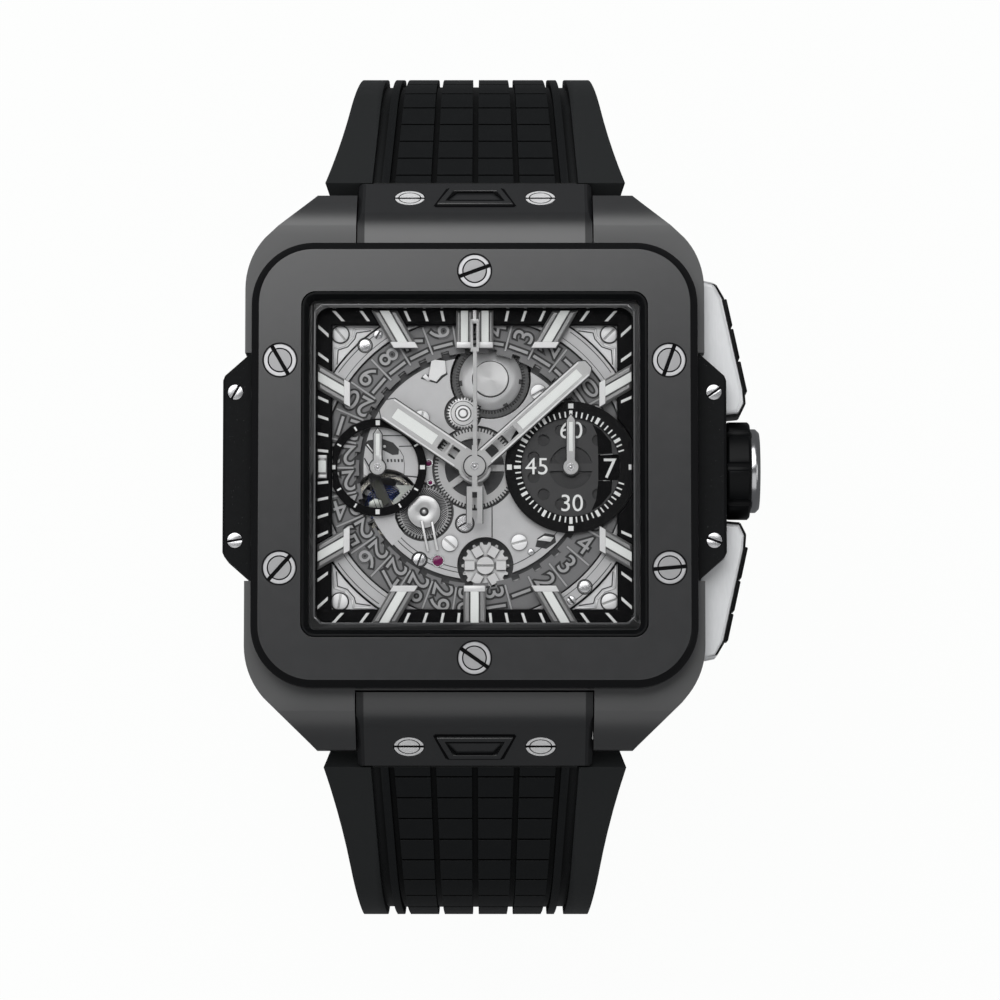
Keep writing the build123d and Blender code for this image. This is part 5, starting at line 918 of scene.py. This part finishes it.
# Steady places of small fittings, in millimetres, with their radii
ruby_places = ((-3.4, -8.6, 0.5), (-4.25, 0.45, 0.28), (-4.1, -1.35, 0.2))
pin_places = ((5.2, -7.8, 0.33), (6.25, 7.35, 0.3), (-5.3, 3.0, 0.28))
holder_top = level(3.82)
bridge_screw_top, holder_screw_top = bridge_top + 0.1 * mm, level(3.72)
holder_pins = ((-10.15, 11.35, 0.6), (10.15, -11.05, 0.6))
holder_screws = ((-8.95, 12.35, 0.42, 30), (8.9, -12.3, 0.42, -40))
bridge_screws = ((-0.92, -5.15, 0.75, 60), (-5.1, -8.5, 0.6, 20))


def draw_pins(bm):
    pins(bm, pin_places, bridge_top, bridge_top + 0.12 * mm, 0.85)
    pins(bm, holder_pins, holder_top, level(3.7), 0.9)


def draw_screw_heads(bm):
    pins(bm, bridge_screws, bridge_top, bridge_screw_top, 0.93)
    pins(bm, holder_screws, holder_top, holder_screw_top, 0.93)


def draw_screw_slots(bm):
    for screws, top in ((bridge_screws, bridge_screw_top), (holder_screws, holder_screw_top)):
        for x, y, radius, clock in screws:
            half = radius * 0.95
            spokes(bm, spot(x, y), [clock], -half, half, 0.16, top, top + line_rise)


def draw_screw_seats(bm):
    seats(bm, bridge_screws, 0.02, 0.16, *bridge_line)
    seats(bm, holder_pins, 0.02, 0.12, holder_top, level(3.79))


add_piece(
    "rubies", "root", "ruby",
    lambda bm: pins(bm, ruby_places, bridge_top, bridge_top + 0.03 * mm, 0.8), bevel=0.04,
)
add_piece(
    "ruby_seats", "root", "bright_steel",
    lambda bm: seats(bm, ruby_places, 0, 0.1, bridge_top, bridge_top + 0.04 * mm, steps=32),
)
add_piece("small_pins", "root", "bright_steel", draw_pins, bevel=0.05)
add_piece("small_screw_heads", "root", "bright_steel", draw_screw_heads, bevel=0.03)
add_piece("small_screw_slots", "root", "shadow_metal", draw_screw_slots)
add_piece("small_screw_seats", "root", "shadow_metal", draw_screw_seats)

# Levers, springs, painted shadows of the levers, a window dark with painted shade, and lines that lie on
# the bridges, in millimetres
spring_bars = (((-4.9, -4.9), (-4.3, -7.75)), ((-3.95, -5.0), (-3.45, -7.65)))
lever_outlines = (
    (0.15, ((-4.3, 8.25), (-3.55, 8.0), (-3.1, 8.55), (-2.65, 8.8), (-2.75, 9.95), (-4.0, 10.1))),
    (0.1, ((-4.85, 8.45), (-4.35, 8.05), (-4.1, 8.15), (-4.55, 8.75))),
    (0.12, ((5.75, -6.7), (6.4, -6.3), (7.3, -6.45), (7.0, -6.85), (6.3, -6.75))),
)
lever_shadow_outlines = (
    ((5.6, -7.3), (5.8, -6.5), (6.5, -6.05), (7.4, -6.2), (7.5, -6.9), (6.6, -7.5)),
    ((-5.0, 8.3), (-3.5, 7.85), (-2.95, 8.4), (-2.5, 8.7), (-2.6, 8.95), (-4.8, 8.6)),
)
seconds_window_outline = (
    (-10.2, 2.2), (-9.9, 2.55), (-8.65, 2.75), (-7.55, 2.35), (-7.0, 1.75), (-7.05, 1.25), (-7.6, 1.2),
    (-8.25, 1.55), (-8.95, 1.85), (-9.45, 1.3),
)
seconds_lever_outline = ((-10.25, 0.6), (-10.25, -0.6), (-9.95, -0.75), (-9.75, -0.4))
fine_lines = (
    (0.09, ((-8.5, 3.0), (-6.4, 3.0))),
    (0.09, ((-7.0, 2.0), (-5.3, 2.05))),
    (0.05, ((-6.95, 1.7), (-6.6, 1.1), (-6.5, 0.3), (-6.55, -0.8))),
)
window_edge = (
    (-10.2, 0.9), (-9.75, 0.1), (-9.3, -0.75), (-8.6, -0.95), (-7.6, -0.8), (-6.6, -0.72), (-5.3, -0.85),
)


def draw_levers(bm):
    for thick_mm, outline in lever_outlines:
        plate(bm, outline, bridge_top, bridge_top + thick_mm * mm)
    for bars in spring_bars:
        path(bm, bars, 0.2, level(4.06), level(4.0))


# Painted shadows cast by the levers on the bridges.
def draw_lever_windows(bm):
    for outline in lever_shadow_outlines:
        plate(bm, outline, *bridge_line)


def draw_bridge_lines(bm):
    for inner, clock, sweep in ((9.35, 190, 75), (9.75, 185, 80), (9.6, 100, 62)):
        ring(bm, centre, inner, inner + 0.07, *bridge_line, clock, sweep, 40)
    for width_mm, line in fine_lines:
        path(bm, line, width_mm, *bridge_line)
    path(bm, window_edge, 0.12, bridge_top, bridge_top + 0.012 * mm)


def draw_seconds_window(bm):
    plate(bm, seconds_window_outline, *bridge_line)
    for x in (-8.05, -7.72, -7.39, -7.06, -6.73):
        path(bm, ((x, 0.82), (x + 0.03, 0.55)), 0.15, *bridge_line)


def draw_seconds_lever(bm):
    layer = bridge_top + line_rise, bridge_top + 0.05 * mm
    plate(bm, seconds_lever_outline, bridge_top, bridge_top + 0.08 * mm)
    pin(bm, spot(-8.35, 2.0), 0.13, *layer)
    path(bm, ((-9.95, 2.2), (-9.4, 1.5)), 0.12, *layer)


cover_outline = (
    (-7.35, -3.98), (-7.35, -4.7), (-7.0, -5.5), (-6.48, -6.16), (-7.6, -7.2), (-8.25, -6.45),
    (-8.9, -5.5), (-9.4, -4.6), (-9.4, -4.32), (-7.9, -4.18),
)
shield_outlines = (
    ((-7.35, -1.5), (-5.6, -1.5), (-5.8, -2.3), (-6.4, -3.1), (-7.5, -3.6), (-7.6, -2.9), (-6.95, -2.3),
     (-7.1, -1.8)),
    ((-9.85, -3.1), (-9.25, -2.7), (-8.65, -2.9), (-8.45, -3.65), (-9.75, -3.65)),
)


def draw_balance_shields(bm):
    for outline in shield_outlines:
        plate(bm, outline, level(5.4), level(5.3))


add_piece("bridge_levers", "root", "foot_steel", draw_levers, bevel=0.03)
add_piece("lever_shadows", "root", "shadow_metal", draw_lever_windows)
add_piece("bridge_lines", "root", "shadow_metal", draw_bridge_lines)
add_piece("seconds_window", "root", "shadow_metal", draw_seconds_window)
add_piece("seconds_lever", "root", "foot_steel", draw_seconds_lever, bevel=0.02)
add_piece(
    "balance_cover", "root", "bridge_plate",
    lambda bm: plate(bm, cover_outline, bridge_top - 0.06 * mm, bridge_top + 0.012 * mm),
)
add_piece("balance_shields", "root", "cock_metal", draw_balance_shields, bevel=0.03)
add_piece(
    "balance_bar_cap", "root", "warm_shadow",
    lambda bm: path(bm, ((-9.3, -1.1), (-8.3, -3.3)), 0.8, level(5.59), level(5.56)),
)

# Corner brackets: a stepped groove in each, and arcs on the holder
groove_points = (
    (-12.75, 9.6), (-12.65, 10.95), (-11.75, 11.25), (-11.1, 12.0), (-10.95, 12.55), (-9.6, 12.75),
)
edge_points = (
    (-13.0, 9.0), (-12.95, 11.1), (-11.95, 11.45), (-11.3, 12.2), (-11.15, 12.95), (-9.2, 13.0),
)
bracket_level = level(4.1)


def draw_bracket_lines(bm, points, width_mm, rise):
    """The same line in all four corners."""
    for x_side in (1, -1):
        for y_side in (1, -1):
            line = [(-x * x_side, y * y_side) for x, y in points]
            path(bm, line, width_mm, bracket_level, bracket_level + rise)


def draw_corner_seats(bm):
    for x in (12.45, -12.45):
        for y in (12.4, -12.4):
            ring(bm, spot(x, y), 0.77, 0.88, bracket_level, bracket_level + line_rise)


def draw_holder_arcs(bm):
    layer = level(3.8), level(3.79)
    for quarter in (0, 90, 180, 270):
        ring(bm, centre, 15.35, 15.42, *layer, quarter + 35, 20, 16)
        ring(bm, centre, 14.5, 14.55, *layer, quarter + 25, 40, 24)


add_piece(
    "bracket_grooves", "root", "shadow_metal",
    lambda bm: draw_bracket_lines(bm, groove_points, 0.09, 0.02 * mm),
)
add_piece(
    "bracket_ribs", "root", "bracket_plate",
    lambda bm: draw_bracket_lines(bm, edge_points, 0.16, 0.05 * mm), bevel=0.02,
)
add_piece("corner_seats", "root", "shadow_metal", draw_corner_seats)
add_piece("holder_arcs", "root", "shadow_metal", draw_holder_arcs)

# Bezel screws: dark painted shade at the bottoms of their slots, in their ring grooves and round their
# heads
bezel_screw_turns = (
    (0, 17.8, 20), (0, -17.8, -35), (17.85, 9.55, 70), (17.85, -9.55, 5), (-17.85, 9.55, -60),
    (-17.85, -9.55, 48),
)


def draw_slot_bottoms(bm):
    for x, y, turn in bezel_screw_turns:
        place = spot(x, y)
        spokes(bm, place, [90 - turn], -1.46, 1.46, 0.33, level(0.26), level(0.2))
        ring(bm, place, 1.03, 1.13, level(0.13), level(0.08))
        ring(bm, place, 1.48, 1.62, level(0.03), level(-0.003))


def draw_screw_faces(bm):
    for x, y, turn in bezel_screw_turns:
        for half in (0, 180):
            arc = [math.radians(turn + half + step) for step in range(12, 169, 6)]
            plate(bm, [(x + math.cos(a), y + math.sin(a)) for a in arc], level(0.05), level(0.045))


add_piece("bezel_screw_grooves", "root", "dial_black", draw_slot_bottoms)
add_piece("bezel_screw_faces", "root", "pin_grey", draw_screw_faces)

# Insert screws: painted shade at the bottoms of their slots
insert_turns = ((22.05, 6.85, 35), (22.05, -6.85, -20), (-22.05, 6.85, 60), (-22.05, -6.85, 10))


def draw_insert_slots(bm):
    for x, y, turn in insert_turns:
        spokes(bm, spot(x, y), [90 - turn], -0.68, 0.68, 0.19, level(2.59), level(2.5))


add_piece("insert_screw_slots", "root", "dial_black", draw_insert_slots)

# Slopes of the end links: painted shade in the grooves of their screws and of the release buttons
link_screws = nodes["end_link_screws"].data


def slope_normal(y_side):
    """Outward direction of an end link's slope, from the largest face of its screws' heads."""
    faces = [f for f in link_screws.polygons if f.normal.z > 0.3 and f.normal.y * y_side > 0.3]
    return max(faces, key=lambda face: face.area).normal.copy()


slopes = {"upper": slope_normal(1), "lower": slope_normal(-1)}


def flat_frame(node_name, outward, x_side):
    """Frame in the middle of a node's outermost flat, with Z along outward and X kept."""
    places = [v.co for v in nodes[node_name].data.vertices]
    places = [v for v in places if v.x * x_side >= 0 and v.y * outward.y > 0]
    top = max(v.dot(outward) for v in places)
    rim = [v for v in places if v.dot(outward) > top - 0.01 * mm]
    middle = Vector((max(v[i] for v in rim) + min(v[i] for v in rim)) / 2 for i in range(3))
    across = Vector((1, 0, 0))
    axes = Matrix((across, outward.cross(across), outward)).transposed()
    return Matrix.Translation(middle) @ axes.to_4x4()


def draw_on(bm, place, draw):
    """Draws on a frame instead of on the dial's plane."""
    known = set(bm.verts)
    draw(bm)
    fresh = [vert for vert in bm.verts if vert not in known]
    bmesh.ops.transform(bm, matrix=place, verts=fresh)


def draw_link_screw(bm):
    path(bm, ((-1.36, 0), (1.36, 0)), 0.32, -0.24 * mm, -0.06 * mm)
    ring(bm, centre, 0.98, 1.07, -0.02 * mm, 0.01 * mm)
    ring(bm, centre, 1.39, 1.52, -0.05 * mm, 0.015 * mm)


def draw_link_screws(bm):
    for outward in slopes.values():
        for x_side in (1, -1):
            draw_on(bm, flat_frame("end_link_screws", outward, x_side), draw_link_screw)


def trapezoid(grow, wide_sign):
    """Outline of a release button, grown by a length in millimetres."""
    wide, narrow, half = 3.55 + grow, 2.4 + grow, 1.55 + grow
    wide_y, narrow_y = half * wide_sign, -half * wide_sign
    return ((-wide, wide_y), (wide, wide_y), (narrow, narrow_y), (-narrow, narrow_y), (-wide, wide_y))


def draw_release(place, points, width_mm, bottom_mm, top_mm):
    """Drawing of a line on a release button's slope, at heights above its face."""
    return lambda bm: draw_on(
        bm, place, lambda flat: path(flat, points, width_mm, bottom_mm * mm, top_mm * mm)
    )


add_piece("link_screw_grooves", "root", "dial_black", draw_link_screws)
for side, outward in slopes.items():
    wide_sign = -1 if outward.y > 0 else 1
    place = flat_frame("release_button_" + side, outward, 0)
    gap = draw_release(place, trapezoid(0.16, wide_sign), 0.3, -0.25, -0.22)
    line = draw_release(place, trapezoid(-0.66, wide_sign), 0.24, -0.1, -0.05)
    add_piece("release_groove_" + side, "root", "dial_black", gap)
    add_piece("release_line_" + side, "release_" + side, "dial_black", line)

# Bright edge of the crystal's frame
rim_half, rim_cut = 14.65, 0.6


def draw_crystal_rim(bm):
    inner = rim_half - rim_cut
    corners = []
    for x_side, y_side in ((1, 1), (1, -1), (-1, -1), (-1, 1)):
        ends = [(inner * x_side, rim_half * y_side), (rim_half * x_side, inner * y_side)]
        corners.extend(ends if x_side == y_side else ends[::-1])
    corners.append(corners[0])
    path(bm, corners, 0.16, level(0.12), level(0.07))


add_piece("crystal_rim", "root", "rim_ceramic", draw_crystal_rim, bevel=0.03)

# Pushers: rubber rims and three rubber pads on each outer face
pusher_rim = (
    (21.2, 17.35), (22.35, 17.15), (23.05, 15.95), (24.92, 7.45), (25.02, 6.1), (24.5, 5.05), (22.6, 4.87),
)
pusher_edge = ((22.15, 16.95), (22.85, 15.85), (24.7, 7.42), (24.8, 6.15), (24.35, 5.3))
pad_start, pad_end = Vector((23.2, 15.9)), Vector((25.1, 7.2))
pads = [[pad_start.lerp(pad_end, share) for share in ends] for ends in ((0, 0.29), (0.32, 0.64), (0.67, 1))]


def draw_on_pusher(lines, side, width_mm, bottom_depth, top_depth):
    """Drawing of bars along lines on the upper pusher, or along the same lines on the lower one."""

    def draw(bm):
        for line in lines:
            places = [(x, y * side) for x, y in line]
            path(bm, places, width_mm, level(bottom_depth), level(top_depth))

    return draw


for side_name, side in (("upper", 1), ("lower", -1)):
    for name, material, lines, width_mm, bottom_depth, top_depth, bevel in (
        ("edges_", "foot_steel", [pusher_edge], 0.1, 5.6, 5.31, 0),
        ("pads_", "seal_rubber", pads, 0.42, 9.0, 5.7, 0.1),
        ("rims_", "seal_rubber", [pusher_rim], 0.2, 9.3, 5.32, 0),
    ):
        draw = draw_on_pusher(lines, side, width_mm, bottom_depth, top_depth)
        add_piece(name + side_name, "pusher_" + side_name, material, draw, bevel=bevel)

# Stage, light and camera


def build_floor():
    """Plain white floor under the clasp that keeps a soft shadow."""
    bpy.ops.mesh.primitive_plane_add(size=4, location=(0, 0, cad_box[0][2] - 0.1 * mm))
    floor = bpy.context.object
    floor.name = "floor"
    material = bpy.data.materials.new("floor_white")
    material.use_nodes = True
    tree = material.node_tree
    tree.nodes.remove(tree.nodes["Principled BSDF"])
    diffuse = add_node(tree, "BsdfDiffuse", {"Color": (0.9, 0.9, 0.9, 1)}).outputs["BSDF"]
    glow = add_node(tree, "Emission", {"Color": (0.99, 0.995, 0.99, 1)}).outputs["Emission"]
    rays = add_node(tree, "LightPath").outputs
    direct = {0: rays["Is Camera Ray"], 1: rays["Is Transmission Ray"]}
    seen = add_node(tree, "Math", direct, operation="MAXIMUM").outputs["Value"]
    share = add_node(tree, "Math", {0: seen, 1: 0.97}, operation="MULTIPLY").outputs["Value"]
    mix = add_node(tree, "MixShader", {"Fac": share, 1: diffuse, 2: glow})
    plug(tree, tree.nodes["Material Output"], {"Surface": mix.outputs["Shader"]})
    floor.data.materials.append(material)
    floor.visible_glossy = False


def light_world():
    """Even surroundings, which look as white as the floor behind the watch."""
    world = bpy.data.worlds.new("studio")
    world.use_nodes = True
    tree = world.node_tree
    background = tree.nodes["Background"]
    plug(tree, background, {"Color": (0.95, 0.97, 1.0, 1), "Strength": 0.16})
    backdrop = add_node(tree, "Background", {"Color": (0.985, 0.99, 0.985, 1)})
    sockets = {
        "Fac": add_node(tree, "LightPath").outputs["Is Camera Ray"],
        1: background.outputs["Background"],
        2: backdrop.outputs["Background"],
    }
    mix = add_node(tree, "MixShader", sockets)
    plug(tree, tree.nodes["World Output"], {"Surface": mix.outputs["Shader"]})
    scene.world = world


build_floor()
light_world()
dial_middle = up * bezel_top
for name, place, width, length, power in (
    ("top_softbox", (-0.1, 0.335, 0.56), 0.5, 0.6, 2.75),
    ("left_softbox", (-0.5, -0.05, 0.45), 0.3, 0.5, 0.7),
    ("right_softbox", (0.5, -0.05, 0.4), 0.3, 0.5, 0.65),
    ("front_softbox", (0, -0.33, 0.57), 0.5, 0.5, 0.6),
):
    lamp = bpy.data.lights.new(name, "AREA")
    lamp.shape = "RECTANGLE"
    lamp.size = width
    lamp.size_y = length
    lamp.energy = power
    holder = bpy.data.objects.new(name, lamp)
    scene.collection.objects.link(holder)
    holder.location = place
    holder.rotation_euler = (dial_middle - holder.location).to_track_quat("-Z", "Y").to_euler()

# Camera at the photograph's angle
pixels_per_mm = 10.93
photo_width = 1000
watch_px = (474.5, 463.5)
camera_distance_mm = 450
camera_height = math.radians(85)
sensor_mm = 36
aim = spot(
    (photo_width / 2 - watch_px[0]) / pixels_per_mm, (watch_px[1] - photo_width / 2) / pixels_per_mm
)
aim.z = bezel_top
camera_data = bpy.data.cameras.new("camera")
camera_data.sensor_width = sensor_mm
camera_data.lens = sensor_mm * pixels_per_mm * camera_distance_mm / photo_width
camera_data.clip_start = 0.01
camera = bpy.data.objects.new("camera", camera_data)
scene.collection.objects.link(camera)
away = Vector((0, -math.cos(camera_height), math.sin(camera_height)))
camera.location = aim + away * camera_distance_mm * mm
camera.rotation_euler = (-away).to_track_quat("-Z", "Y").to_euler()
scene.camera = camera
scene.view_settings.view_transform = "Standard"
